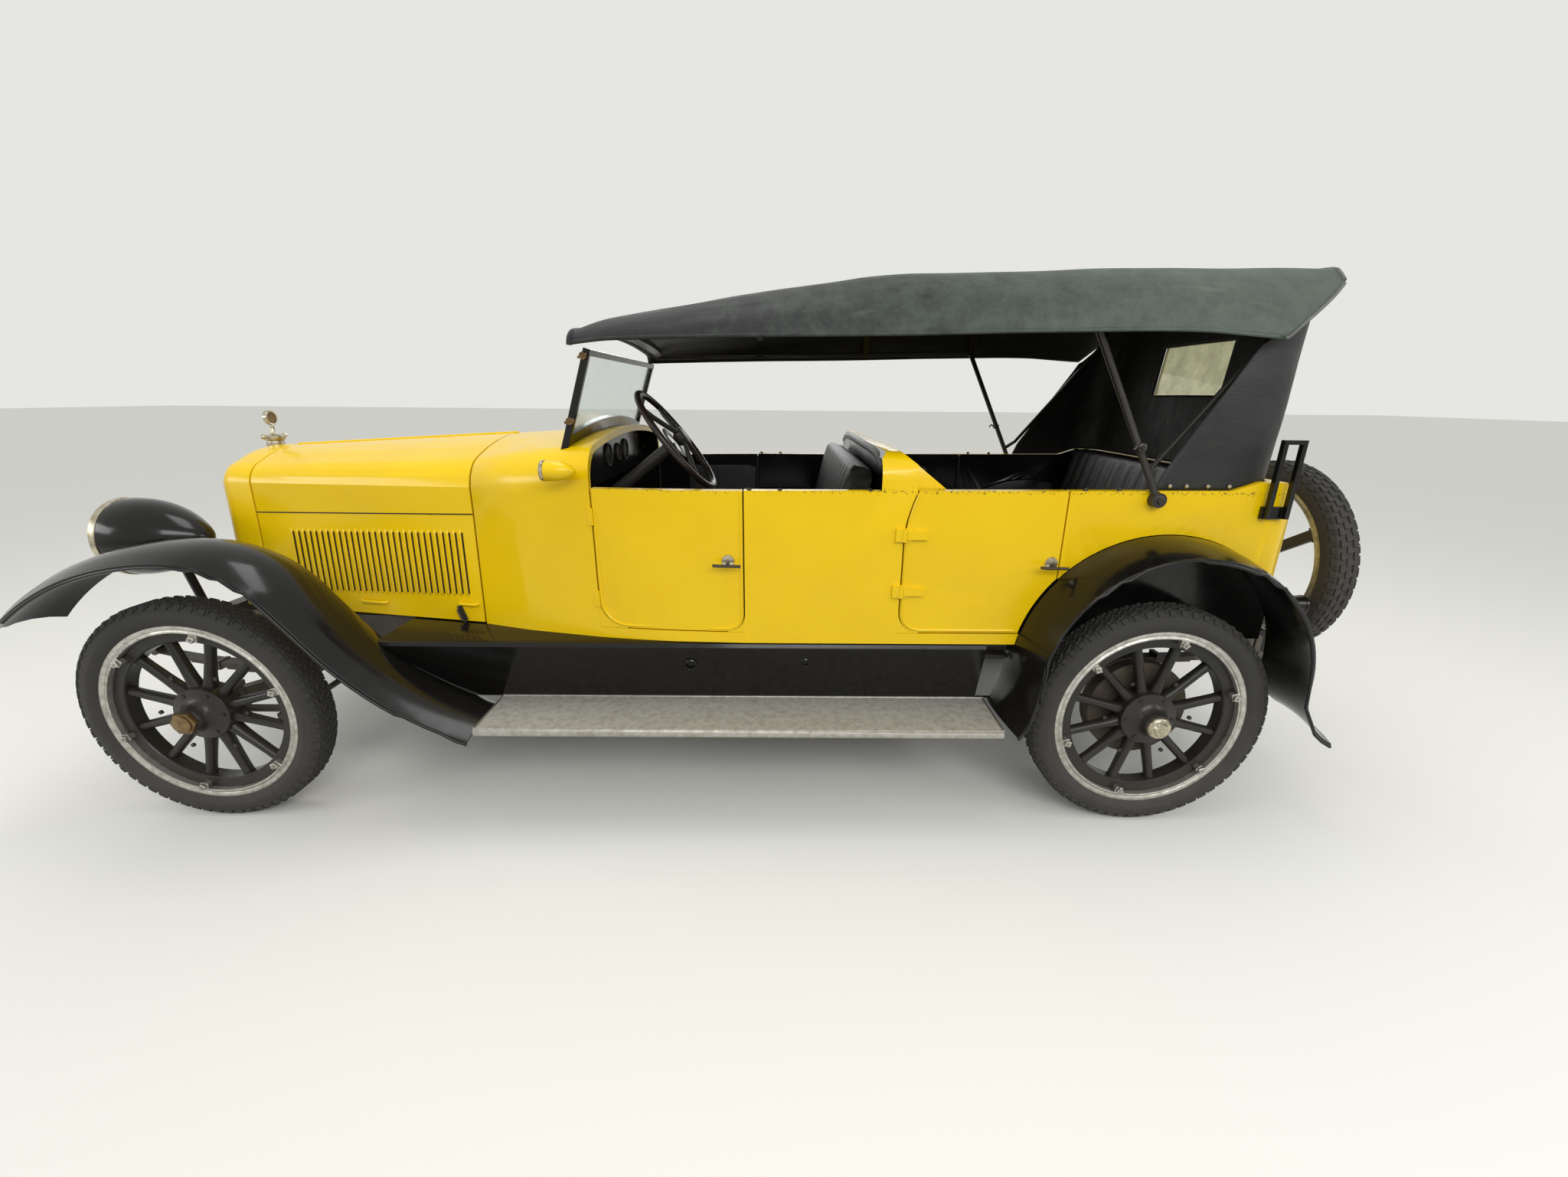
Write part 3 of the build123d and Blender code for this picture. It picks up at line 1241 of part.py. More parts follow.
def top_bows():
    """The irons and bows that carry the canopy, turning on a pivot outside each side of the body."""
    pivot = (PIVOT[0], BODY_HALF + RUN + 14, PIVOT[1])
    wood = top_inside(CLOTH + RUN) - top_inside(CLOTH + BOW_DEPTH, 5)
    feet = [(station, *bow_foot(station)) for station in BOWS]
    feet[-1] = (BOWS[-1], *REAR_BOW_FOOT)
    bars = None
    for x, _, z in feet:
        bent = wood & block((x - BOW_WIDTH / 2, x + BOW_WIDTH / 2), (-FAR, FAR), (z, FAR))
        bars = bent if bars is None else bars + bent
    x, y, z = feet[3]
    head = (x, y - 6, z + STRAP[1] / 2)
    half = rod(pivot, head, IRON_R) + disc(*pivot, 24, 28)
    branch = Vector(*pivot) + (Vector(*head) - Vector(*pivot)) * 0.1
    half += rod(tuple(branch), REAR_IRON_ELBOW, 8)
    x, y, z = feet[4]
    half += rod(REAR_IRON_ELBOW, (x, y, z + 8), 8) + block((x - 8, x + 8), (y - 8, y + 28), (z, z + 16))
    for front, back in zip(feet[:3], feet[1:4]):
        half += strap(front, back)
    return bars + half + flip(half)


def strap(start, end):
    """A flat iron along the inside of the valance between two bows' feet."""
    width, height = STRAP
    (x0, y0, z0), (x1, y1, z1) = start, end
    faces = []
    for x, y, z in ((x0, y0, z0), (x1, y1, z1)):
        low, high = y - width / 2, y + width / 2
        outline = Polyline((low, z), (high, z), (high, z + height), (low, z + height), close=True)
        faces.append(across(x) * make_face(outline))
    return loft(faces, ruled=True)


def top_rest():
    """The left saddle that holds the folded top: two bars on a foot at the body's rear corner."""
    y = -BODY_HALF - RUN
    (x0, x1), (z0, z1) = REST_SPAN, REST_Z
    rest = block((x0 - 5, x1 + 6), (y - 14, y), (z0 - 2, z0 + 38))
    out = (y - 30, y - 12)
    rest += block((x0, x0 + 14), out, REST_Z) + block((x1 - 14, x1), out, REST_Z)
    return rest + block(REST_SPAN, out, (z1 - 14, z1))


def main():
    """Build and write every piece."""
    wheels()
    rail = frame_rail()
    write("frame_rails", rail, flip(rail))
    write("cross_members", *cross_members())
    arms = [side_arm(x) for x in BRACKETS]
    write("board_brackets", *arms, *[flip(arm) for arm in arms])
    write("leaf_springs", *leaf_springs())
    write("front_axle", front_axle())
    left = knuckle()
    write("left_knuckle", left)
    write("right_knuckle", flip(left))
    write("tie_rod", tie_rod())
    write("rear_axle", rear_axle())
    write("engine_block", engine())
    write("exhaust", exhaust())
    write("fuel_tank", fuel_tank())
    hood_panels()
    radiator()
    write("cowl", cowl())
    write("centre_body", centre_body())
    write("rear_tub", rear_tub())
    write("floor", floor())
    doors()
    write("instrument_board", instrument_board())
    seats()
    write("steering_column", steering_column())
    write("steering_wheel", steering_wheel())
    write("pedals_and_levers", *pedals_and_levers())
    fender = front_fender()
    write("front_fenders", fender, flip(fender))
    fender = rear_fender()
    write("rear_fenders", fender, flip(fender))
    apron = splash_apron()
    write("splash_aprons", apron, flip(apron))
    board = running_board()
    write("running_boards", board, flip(board))
    lamp = headlight()
    write("headlights", lamp, flip(lamp))
    lamp = cowl_lamp(cowl_outer(RUN))
    write("cowl_lamps", lamp, flip(lamp))
    write("tail_lamp", tail_lamp())
    frame, glass = windshield()
    write("windshield_frame", frame)
    write("window_panes", glass, rear_pane())
    write("canopy", canopy())
    write("back_curtain", back_curtain())
    write("top_bows", top_bows())
    rest = top_rest()
    write("top_rests", rest, flip(rest))


main()
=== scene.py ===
import bmesh
import bpy
import json
import math
from mathutils import Matrix, Vector, noise


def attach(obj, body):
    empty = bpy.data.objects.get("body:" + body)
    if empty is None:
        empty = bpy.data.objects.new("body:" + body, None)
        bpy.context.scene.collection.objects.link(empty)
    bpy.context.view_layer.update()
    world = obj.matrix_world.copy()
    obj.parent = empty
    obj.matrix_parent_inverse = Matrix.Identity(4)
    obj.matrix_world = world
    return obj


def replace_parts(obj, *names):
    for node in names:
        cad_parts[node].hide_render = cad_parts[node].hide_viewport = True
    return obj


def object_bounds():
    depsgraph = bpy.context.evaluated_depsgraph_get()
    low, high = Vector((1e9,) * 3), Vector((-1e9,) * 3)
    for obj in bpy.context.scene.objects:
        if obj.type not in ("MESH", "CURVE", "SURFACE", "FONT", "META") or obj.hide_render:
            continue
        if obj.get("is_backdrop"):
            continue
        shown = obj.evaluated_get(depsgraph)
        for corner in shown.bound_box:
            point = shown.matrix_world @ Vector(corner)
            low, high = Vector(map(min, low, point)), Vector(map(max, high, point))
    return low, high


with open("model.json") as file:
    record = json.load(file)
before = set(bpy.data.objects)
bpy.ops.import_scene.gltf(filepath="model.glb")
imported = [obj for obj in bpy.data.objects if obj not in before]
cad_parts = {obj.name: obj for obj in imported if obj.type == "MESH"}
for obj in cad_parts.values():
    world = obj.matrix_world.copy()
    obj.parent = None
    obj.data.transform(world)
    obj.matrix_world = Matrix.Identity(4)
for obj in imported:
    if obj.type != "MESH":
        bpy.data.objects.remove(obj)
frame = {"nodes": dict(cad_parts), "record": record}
cad_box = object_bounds()
nodes = frame["nodes"]
scene = bpy.context.scene

# The stage: a pale floor and soft lamps, seen through the short lens that the car was photographed with.
# The camera stands close to the car's left side, a little behind its middle and above its doors.
MIDDLE = 1854.27


def place(x, y, z):
    """A point in metres from a station behind the front axle, a distance to the right and a height, in mm."""
    return Vector(((x - MIDDLE) / 1000, y / 1000, z / 1000))


def linear(code):
    """An sRGB hex colour as linear RGBA."""
    parts = [int(code[i:i + 2], 16) / 255 for i in (0, 2, 4)]
    return [c / 12.92 if c <= 0.04045 else ((c + 0.055) / 1.055) ** 2.4 for c in parts] + [1.0]


def add(tree, kind, settings=None, links=None):
    """Add a shader node with its attributes or inputs set, and inputs linked to (node, output) pairs."""
    new = tree.nodes.new(kind)
    for key, value in (settings or {}).items():
        if isinstance(key, str) and hasattr(new, key):
            setattr(new, key, value)
        else:
            new.inputs[key].default_value = value
    for key, (source, output) in (links or {}).items():
        tree.links.new(source.outputs[output], new.inputs[key])
    return new


def blank(name):
    """A new material with only its output node."""
    material = bpy.data.materials.new(name)
    material.use_nodes = True
    tree = material.node_tree
    tree.nodes.clear()
    return material, tree, add(tree, "ShaderNodeOutputMaterial")


YAW, PITCH, ROLL = 0.0061, 0.3096, -0.0084
ahead = Vector((math.sin(YAW) * math.cos(PITCH), math.cos(YAW) * math.cos(PITCH), -math.sin(PITCH)))
level = Vector((math.cos(YAW), -math.sin(YAW), 0))
down = ahead.cross(level)
right = math.cos(ROLL) * level + math.sin(ROLL) * down
up = math.sin(ROLL) * level - math.cos(ROLL) * down
lens = bpy.data.cameras.new("view")
lens.lens = 13.9
lens.sensor_width = 36
lens.sensor_fit = "HORIZONTAL"
lens.clip_start = 0.05
camera = bpy.data.objects.new("view", lens)
camera.matrix_world = Matrix.Translation((0.1542, -2.6264, 1.4844)) @ Matrix((right, up, -ahead)).transposed().to_4x4()
scene.collection.objects.link(camera)
scene.camera = camera

floor_mesh = bpy.data.meshes.new("floor_plane")
bm = bmesh.new()
bmesh.ops.create_grid(bm, x_segments=1, y_segments=1, size=60)
bm.to_mesh(floor_mesh)
bm.free()
floor_plane = bpy.data.objects.new("floor_plane", floor_mesh)
floor_plane.location = (0, 0, -0.0005)
scene.collection.objects.link(floor_plane)


def looking(tree):
    """One for rays from the camera and for those that gloss or glass sends on, nothing for the rest."""
    ray = add(tree, "ShaderNodeLightPath")
    bright = add(tree, "ShaderNodeMath", {"operation": "ADD"}, {0: (ray, "Is Camera Ray"), 1: (ray, "Is Glossy Ray")})
    return add(tree, "ShaderNodeMath", {"operation": "ADD", "use_clamp": True},
               {0: (bright, "Value"), 1: (ray, "Is Transmission Ray")})


stage_material, tree, output = blank("pale_stage")
paper = add(tree, "ShaderNodeBsdfDiffuse", {"Color": linear("E2E1DC")})
concrete = add(tree, "ShaderNodeBsdfDiffuse", {"Color": linear("8F8F8B")})
shown = add(tree, "ShaderNodeMixShader", {}, {0: (looking(tree), "Value"), 1: (concrete, 0), 2: (paper, 0)})
tree.links.new(shown.outputs[0], output.inputs[0])
floor_mesh.materials.append(stage_material)
floor_plane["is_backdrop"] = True

world = bpy.data.worlds.new("studio")
scene.world = world
world.use_nodes = True
tree = world.node_tree
tree.nodes.clear()
soft = add(tree, "ShaderNodeBackground", {"Color": linear("EDEEEC"), "Strength": 0.95})
pale = add(tree, "ShaderNodeBackground", {"Color": linear("E6E6E3"), "Strength": 1.0})
seen = add(tree, "ShaderNodeMixShader", {}, {0: (looking(tree), "Value"), 1: (soft, 0), 2: (pale, 0)})
add(tree, "ShaderNodeOutputWorld", {}, {0: (seen, 0)})
for name, spot, aim, size, power in (
    ("key", (1.2, -4.6, 3.4), (0, 0, 0.9), 3.6, 105),
    ("over", (-0.6, -0.6, 4.8), (0, 0, 0.8), 3.0, 45),
    ("nose", (-5.2, -2.6, 2.4), (-1.5, 0, 0.8), 2.4, 36),
    ("tail", (5.0, -2.4, 2.6), (1.5, 0, 0.8), 2.4, 30),
    ("far", (0.0, 4.8, 3.2), (0, 0, 0.9), 3.6, 60),
):
    light = bpy.data.lights.new(name, "AREA")
    light.shape = "RECTANGLE"
    light.size = size
    light.size_y = size * 0.4
    light.energy = power
    lamp = bpy.data.objects.new(name, light)
    lamp.matrix_world = Matrix.Translation(spot) @ (Vector(aim) - Vector(spot)).to_track_quat("-Z", "Y").to_matrix().to_4x4()
    scene.collection.objects.link(lamp)
scene.view_settings.view_transform = "Standard"

# The painted sheet-metal body: hood, cowl, doors, quarters and radiator shell in hand-brushed coach enamel.
# The finish is chrome yellow over dark primer: glossy, with faint brush marks, dust low down and small chips.
# Each panel is a smooth copy of its CAD solid with its sharp edges rounded.
bodies_of = {n: body for body, group in frame["record"]["behaviour"]["bodies"].items() for n in group}
MIRROR = Matrix.Scale(-1, 4, (0, 1, 0))


def finish(name, bm, body, slot, *surfaces, sharp=35):
    """Make an object of a mesh drawn in millimetres, smooth but for sharp edges, and hang it on a body."""
    bmesh.ops.recalc_face_normals(bm, faces=bm.faces)
    bm.transform(Matrix.Translation(place(0, 0, 0)) @ Matrix.Scale(0.001, 4))
    mesh = bpy.data.meshes.new(name)
    bm.to_mesh(mesh)
    bm.free()
    for surface in surfaces:
        mesh.materials.append(surface)
    mesh.polygons.foreach_set("use_smooth", [True] * len(mesh.polygons))
    mesh.set_sharp_from_angle(angle=math.radians(sharp))
    piece = bpy.data.objects.new(name, mesh)
    scene.collection.objects.link(piece)
    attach(piece, body)
    return piece


def merged(node):
    """A copy of a CAD node's mesh in millimetres, its loose triangles merged and its flats made whole."""
    bm = bmesh.new()
    bm.from_mesh(nodes[node].data)
    bm.transform(Matrix.Scale(1000, 4) @ Matrix.Translation(-place(0, 0, 0)))
    bmesh.ops.remove_doubles(bm, verts=bm.verts, dist=0.02)
    bmesh.ops.dissolve_limit(bm, angle_limit=math.radians(0.5), verts=bm.verts, edges=bm.edges)
    return bm


def rounded(piece, width):
    """Round a piece's sharp edges by so many millimetres."""
    rounding = piece.modifiers.new("edges", "BEVEL")
    rounding.width = width / 1000
    rounding.segments = 2
    rounding.limit_method = "ANGLE"
    rounding.angle_limit = math.radians(40)
    rounding.harden_normals = True


def skin(node, slot, surface, bevel=0.0, other=None, where_other=None):
    """A smooth copy of a CAD node that stands for it, with its sharp edges rounded and some faces in another finish."""
    bm = merged(node)
    if other:
        bm.normal_update()
        for face in bm.faces:
            face.material_index = int(where_other(face.calc_center_median(), face.normal))
    piece = finish(node + "_skin", bm, bodies_of[node], slot, surface, *([other] if other else []))
    if bevel:
        rounded(piece, bevel)
    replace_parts(piece, node)


def speckle(tree, where, size, detail=4.0, rough=0.6):
    """A noise pattern whose patches are about so many millimetres across."""
    return add(tree, "ShaderNodeTexNoise", {"Scale": 1000 / size, "Detail": detail, "Roughness": rough},
               {"Vector": (where, "Object")})


def ramp(tree, source, output, low, high, to_low=0.0, to_high=1.0):
    """Spread a value between two limits."""
    limits = {"From Min": low, "From Max": high, "To Min": to_low, "To Max": to_high}
    return add(tree, "ShaderNodeMapRange", limits, {"Value": (source, output)})


def tint(tree, factor, first, second):
    """Mix two colours, each a hex code or a (node, output) pair, by a (node, output) factor."""
    settings, links = {"data_type": "RGBA"}, {0: factor}
    for socket, colour in ((6, first), (7, second)):
        if isinstance(colour, str):
            settings[socket] = linear(colour)
        else:
            links[socket] = colour
    return add(tree, "ShaderNodeMix", settings, links)


def dusty(tree, where, colour, dust, height, shade="8E8676"):
    """Lay a film of dust over a colour, thicker in clouds and below a height in metres."""
    axes = add(tree, "ShaderNodeSeparateXYZ", {}, {"Vector": (where, "Object")})
    low = ramp(tree, axes, "Z", height, 0.2)
    cloud = speckle(tree, where, 90, 8.0, 0.7)
    film = add(tree, "ShaderNodeMath", {"operation": "MULTIPLY_ADD", 2: 0.25}, {0: (low, "Result"), 1: (cloud, "Fac")})
    amount = add(tree, "ShaderNodeMath", {"operation": "MULTIPLY", 1: dust, "use_clamp": True}, {0: (film, "Value")})
    return tint(tree, (amount, "Value"), colour, shade), cloud


def enamel(name, hue, dull, chip, rough, dust, height=0.75, belt=0.0):
    """Brushed enamel: a hue and a duller shade in patches, chips of primer, also along a belt at a height, and dust low down."""
    material, tree, output = blank(name)
    where = add(tree, "ShaderNodeTexCoord")
    shade = tint(tree, (speckle(tree, where, 310, 5.0), "Fac"), hue, dull)
    chips = ramp(tree, speckle(tree, where, 13, 5.0, 0.75), "Fac", 0.72, 0.74)
    worn = tint(tree, (chips, "Result"), (shade, 2), chip)
    if belt:
        axes = add(tree, "ShaderNodeSeparateXYZ", {}, {"Vector": (where, "Object")})
        away = add(tree, "ShaderNodeMath", {"operation": "SUBTRACT", 1: belt}, {0: (axes, "Z")})
        away = add(tree, "ShaderNodeMath", {"operation": "ABSOLUTE"}, {0: (away, "Value")})
        near = ramp(tree, away, "Value", 0.002, 0.022, 0.17, 0.0)
        doors = ramp(tree, axes, "X", -0.50, -0.47)
        near = add(tree, "ShaderNodeMath", {"operation": "MULTIPLY"}, {0: (near, "Result"), 1: (doors, "Result")})
        cracks = add(tree, "ShaderNodeMath", {"operation": "ADD"},
                     {0: (speckle(tree, where, 9, 6.0, 0.8), "Fac"), 1: (near, "Value")})
        worn = tint(tree, (ramp(tree, cracks, "Value", 0.72, 0.74), "Result"), (worn, 2), chip)
    colour, cloud = dusty(tree, where, (worn, 2), dust, height)
    gloss = ramp(tree, cloud, "Fac", 0.3, 0.8, rough, rough + 0.2)
    bump = add(tree, "ShaderNodeBump", {"Strength": 0.10, "Distance": 0.0006},
               {"Height": (speckle(tree, where, 4, 2.0), "Fac")})
    paint = add(tree, "ShaderNodeBsdfPrincipled",
                {"IOR": 1.5, "Specular IOR Level": 0.3, "Coat Weight": 0.1, "Coat Roughness": 0.06},
                {"Base Color": (colour, 2), "Roughness": (gloss, "Result"), "Normal": (bump, "Normal")})
    tree.links.new(paint.outputs[0], output.inputs[0])
    return material


# The body: bright yellow, with small chips along the belt and dust low down.
yellow = enamel("brushed_chrome_yellow_coach_enamel", "F0C900", "E0B800", "3A2A12", 0.15, 0.05, 0.75, 1.189)
# The fenders: glossy black.
black = enamel("baked_black_fender_enamel", "050506", "0A0A0B", "2E2C2A", 0.10, 0.05, 0.5)


def within(spot, normal):
    """Whether a body panel's face looks into the cabin or into a wheel's arch, where it is black."""
    inward = normal.y * math.copysign(1, spot.y) < -0.3 and abs(spot.y) > 300
    forward_in = normal.x < -0.3 and spot.x > 3400 and abs(spot.y) < 640
    arch = 575 < abs(spot.y) < 655 and (spot.x - 3302) ** 2 + (max(spot.z, 575) - 575) ** 2 < 490**2
    seat_back = normal.x < -0.3 and 2150 < spot.x < 2420 and abs(spot.y) < 640
    inside = abs(spot.y) < 622 and spot.z < 1150 and 2440 < spot.x < 3600
    under = normal.z < -0.5 and spot.z > 700
    dash_side = normal.x > 0.3 and spot.x < 1320 and abs(spot.y) < 430 and spot.z < 1240
    return inward or forward_in or arch or under or seat_back or inside or dash_side


for node, bevel in (
    ("radiator_shell", 3), ("hood_left_top", 1), ("hood_right_top", 1), ("hood_left_side", 1), ("hood_right_side", 1),
):
    skin(node, "body_enamel", yellow, bevel)
for node, bevel in (
    ("cowl", 2), ("centre_body", 4), ("rear_tub", 3), ("front_left_door", 3), ("front_right_door", 3),
    ("rear_left_door", 3), ("rear_right_door", 3),
):
    skin(node, "body_enamel", yellow, bevel, black, within)


def body_half(x):
    """Half-width of the body at a station."""
    radius = (995**2 + 173**2) / (2 * 173)
    return 665 - (radius - math.sqrt(radius**2 - max(1900 - x, 0) ** 2))

# The fenders and splash aprons: pressed steel sheets in glossy black baked enamel, dusty towards the ground.
# A rolled bead is swept along each fender's outer edge, on the line of the CAD sheet's own corners.


def sweep(bm, frames, sides=12, outline=None):
    """Carry a unit circle, or a closed outline, through a row of matrices, joining each ring to the next."""
    if outline:
        verts = [bm.verts.new((a, b, 0)) for a, b in outline]
        bm.faces.new(verts)
    else:
        verts = bmesh.ops.create_circle(bm, cap_ends=True, segments=sides, radius=1)["verts"]
    bmesh.ops.transform(bm, matrix=frames[0], verts=verts)
    face = verts[0].link_faces[0]
    for before, after in zip(frames, frames[1:]):
        moved = bmesh.ops.extrude_face_region(bm, geom=[face])["geom"]
        if before is not frames[0]:
            bmesh.ops.delete(bm, geom=[face], context="FACES_KEEP_BOUNDARY")
        fresh = [item for item in moved if isinstance(item, bmesh.types.BMVert)]
        face = next(item for item in moved if isinstance(item, bmesh.types.BMFace))
        bmesh.ops.transform(bm, matrix=after @ before.inverted(), verts=fresh)


def along(path, radius, flat=1.0):
    """Matrices that set a ring square to each point of a path."""
    path = [Vector(point) for point in path]
    frames = []
    side = None
    for i, point in enumerate(path):
        run = (path[min(i + 1, len(path) - 1)] - path[max(i - 1, 0)]).normalized()
        if side is None:
            side = run.orthogonal().normalized() if abs(run.z) > 0.9 else run.cross(Vector((0, 0, 1))).normalized()
        side = (side - run * side.dot(run)).normalized()
        turn = Matrix((side, run.cross(side), run)).transposed().to_4x4()
        frames.append(Matrix.Translation(point) @ turn @ Matrix.Diagonal((radius, radius * flat, radius, 1)))
    return frames


def tube(bm, path, radius, sides=10, flat=1.0):
    """A round or flattened bar along a path."""
    sweep(bm, along(path, radius, flat), sides)


def box(bm, x, y, z, turn=None):
    """A box between limits along each axis, turned about its middle by a matrix."""
    middle = Vector((sum(x) / 2, sum(y) / 2, sum(z) / 2))
    size = Matrix.Diagonal((x[1] - x[0], y[1] - y[0], z[1] - z[0], 1))
    bmesh.ops.create_cube(bm, size=1, matrix=Matrix.Translation(middle) @ (turn or Matrix()) @ size)


def twin(bm):
    """Add a mirrored copy for the car's other side."""
    copy = bmesh.ops.duplicate(bm, geom=bm.verts[:] + bm.edges[:] + bm.faces[:])["geom"]
    verts = [item for item in copy if isinstance(item, bmesh.types.BMVert)]
    bmesh.ops.transform(bm, matrix=MIRROR, verts=verts)
    bmesh.ops.reverse_faces(bm, faces=[item for item in copy if isinstance(item, bmesh.types.BMFace)])


def edge_line(node, y, reach=1.5, step=25):
    """The line of a CAD sheet's corners at a distance from the car's middle, front to back."""
    bm = merged(node)
    found = sorted((v.co.x, v.co.z) for v in bm.verts if abs(v.co.y - y) < reach)
    bm.free()
    line = []
    for x, z in found:
        if not line or x - line[-1][0] > step or abs(z - line[-1][2]) > 3 * step:
            line.append((x, y, z))
    return line


for node in ("front_fenders", "rear_fenders"):
    skin(node, "fender_enamel", black, 2)
    bm = bmesh.new()
    tube(bm, [(x, y, z - 3) for x, y, z in edge_line(node, -849.0)], 5.5, 10)
    twin(bm)
    finish(node + "_beads", bm, "car", "fender_enamel", black, sharp=60)
skin("splash_aprons", "fender_enamel", black, 1)

# The wheels: black-painted hickory felloes with twelve oval tapered spokes, pressed steel hubs with
# bolted flanges, demountable steel rims held by six clamps and nuts, and screwed hub caps of dull brass or nickel.
# Each is turned or swept about the axle, copied round it, and set on its wheel with the cap outward.


def metal(name, hue, rough, stain, rust=0.0, dust=0.2, height=0.6, bare=0.9):
    """Bare or plated metal: a hue, stains of another, some rust and a film of dust."""
    material, tree, output = blank(name)
    where = add(tree, "ShaderNodeTexCoord")
    blot = speckle(tree, where, 26, 6.0, 0.7)
    shade = tint(tree, (ramp(tree, blot, "Fac", 0.42, 0.68), "Result"), hue, stain)
    pits = ramp(tree, speckle(tree, where, 11, 6.0, 0.75), "Fac", 0.64 - rust, 0.70 - rust)
    worn = tint(tree, (pits, "Result"), (shade, 2), "5A3A22") if rust else shade
    colour, cloud = dusty(tree, where, (worn, 2), dust, height)
    gloss = ramp(tree, blot, "Fac", 0.3, 0.75, rough, rough + 0.25)
    plate = add(tree, "ShaderNodeBsdfPrincipled", {"Metallic": bare},
                {"Base Color": (colour, 2), "Roughness": (gloss, "Result")})
    tree.links.new(plate.outputs[0], output.inputs[0])
    return material


# Spokes: a softer satin black.
wood_black = enamel("black_painted_hickory", "0E0E0D", "171614", "2E2218", 0.30, 0.10, 0.7)
# Hubs: satin black with dark brown chips.
hub_black = enamel("black_painted_hub_steel", "0D0D0D", "171614", "342B23", 0.28, 0.12, 0.8)
# Rims: a pale ring round each wheel.
silver = metal("aluminium_painted_rim_steel", "C9C8C2", 0.34, "9A968C", 0.02, 0.3)
# Small trim: bright and slightly yellowed.
nickel = metal("worn_nickel_plate", "C4BCA8", 0.16, "8F8468", 0.0, 0.12)
# Front caps, gauge face and clamps: dull brown-gold.
brass = metal("dull_brass", "8A7048", 0.26, "5C4A34", 0.0, 0.2)
# Drums, handles, latches, dial rims and engine: matt grey-brown.
drum_iron = metal("dusty_cast_iron", "3A3733", 0.6, "4C463C", 0.03, 0.6, 0.9)


def join(target, source, place=None):
    """Add a mesh to another, moved by a matrix."""
    mesh = bpy.data.meshes.new("part")
    if place:
        bmesh.ops.transform(source, matrix=place, verts=source.verts)
    source.to_mesh(mesh)
    target.from_mesh(mesh)
    bpy.data.meshes.remove(mesh)
    source.free()


def lathe(bm, rows, steps=48, closed=False, place=None):
    """Turn (radius, y) rows about the Y axis, move the ring by a matrix, and add it to a mesh."""
    ring = bmesh.new()
    line = [ring.verts.new((r, y, 0)) for r, y in rows]
    edges = [ring.edges.new(pair) for pair in zip(line, line[1:])]
    if closed:
        edges.append(ring.edges.new((line[-1], line[0])))
    bmesh.ops.spin(ring, geom=line + edges, axis=(0, 1, 0), cent=(0, 0, 0), angle=2 * math.pi, steps=steps,
                   use_merge=True)
    bmesh.ops.remove_doubles(ring, verts=ring.verts, dist=0.001)
    join(bm, ring, place)


def round_about(bm, count, first=0.0):
    """Copy everything drawn so far round the Y axis, so many times in all."""
    bmesh.ops.rotate(bm, cent=(0, 0, 0), matrix=Matrix.Rotation(first, 3, "Y"), verts=bm.verts)
    whole = bm.verts[:] + bm.edges[:] + bm.faces[:]
    bmesh.ops.spin(bm, geom=whole, axis=(0, 1, 0), cent=(0, 0, 0), angle=2 * math.pi * (count - 1) / count,
                   steps=count - 1, use_duplicate=True)


def wheel_wood():
    """Felloe and spokes."""
    bm = bmesh.new()
    path = ((70, 22, 25), (100, 21, 24), (128, 17, 22), (170, 16, 20), (235, 15.5, 18.5), (270, 17, 19))
    sweep(bm, [Matrix.Translation((0, 0, r)) @ Matrix.Diagonal((a, b, 1, 1)) for r, a, b in path], 14)
    round_about(bm, 12, math.radians(15))
    lathe(bm, [(268, -27), (265, -23), (265, 23), (268, 27), (302, 27), (302, -27)], 96, True)
    return bm


def wheel_rim():
    """Demountable rim: a channel with two rolled lips each side."""
    bm = bmesh.new()
    half = [(303, 41), (304, 45), (308, 47), (312, 45.5), (315, 43), (318, 45.5), (324, 47.5), (330, 46), (332, 43),
            (327, 39), (318, 36), (317, 30)]
    lathe(bm, half + [(r, -y) for r, y in reversed(half)], 128, True)
    return bm


def wheel_clamps():
    """Six rim clamps, each with its stud and square nut."""
    bm = bmesh.new()
    box(bm, (-13, 13), (-50, -43), (281, 309))
    box(bm, (-9, 9), (-46, -26), (283, 300))
    box(bm, (-10, 10), (-61, -50), (282, 302), Matrix.Rotation(0.5, 4, "Y"))
    tube(bm, [(0, -60, 292), (0, -68, 292)], 5, 8)
    bmesh.ops.bevel(bm, geom=bm.edges[:], offset=1.4, segments=1, profile=0.5, affect="EDGES", material=-1,
                    clamp_overlap=True)
    round_about(bm, 6, math.radians(12))
    return bm


def wheel_hub():
    """Bell-shaped hub with a bolted flange on each face."""
    bm = bmesh.new()
    tube(bm, [(0, -37, 80), (0, -46, 80)], 8, 6)
    tube(bm, [(0, -30, 150), (0, -23.5, 150)], 7.5, 8)
    round_about(bm, 6, math.radians(30))
    front = [(0, -90), (36, -90), (40, -84), (42, -74), (47, -62), (56, -52), (70, -45), (88, -41), (94, -39),
             (96, -36), (95, -24)]
    lathe(bm, front + [(95, 32), (92, 36), (52, 40), (50, 60), (0, 60)], 48)
    return bm


def hub_cap(rear):
    """Nickel dome or brass cap with a hexagon for the spanner."""
    bm = bmesh.new()
    if rear:
        lathe(bm,
              [(0, -120), (14, -119.5), (22, -117), (25, -112), (33, -110), (39, -105), (41, -98), (40, -90),
               (0, -88)], 32)
    else:
        lathe(bm, [(0, -119), (24, -118), (31, -114), (32, -108)], 32)
        lathe(bm, [(0, -110), (41, -109), (43, -106), (43, -95), (41, -91), (0, -90)], 6)
    return bm


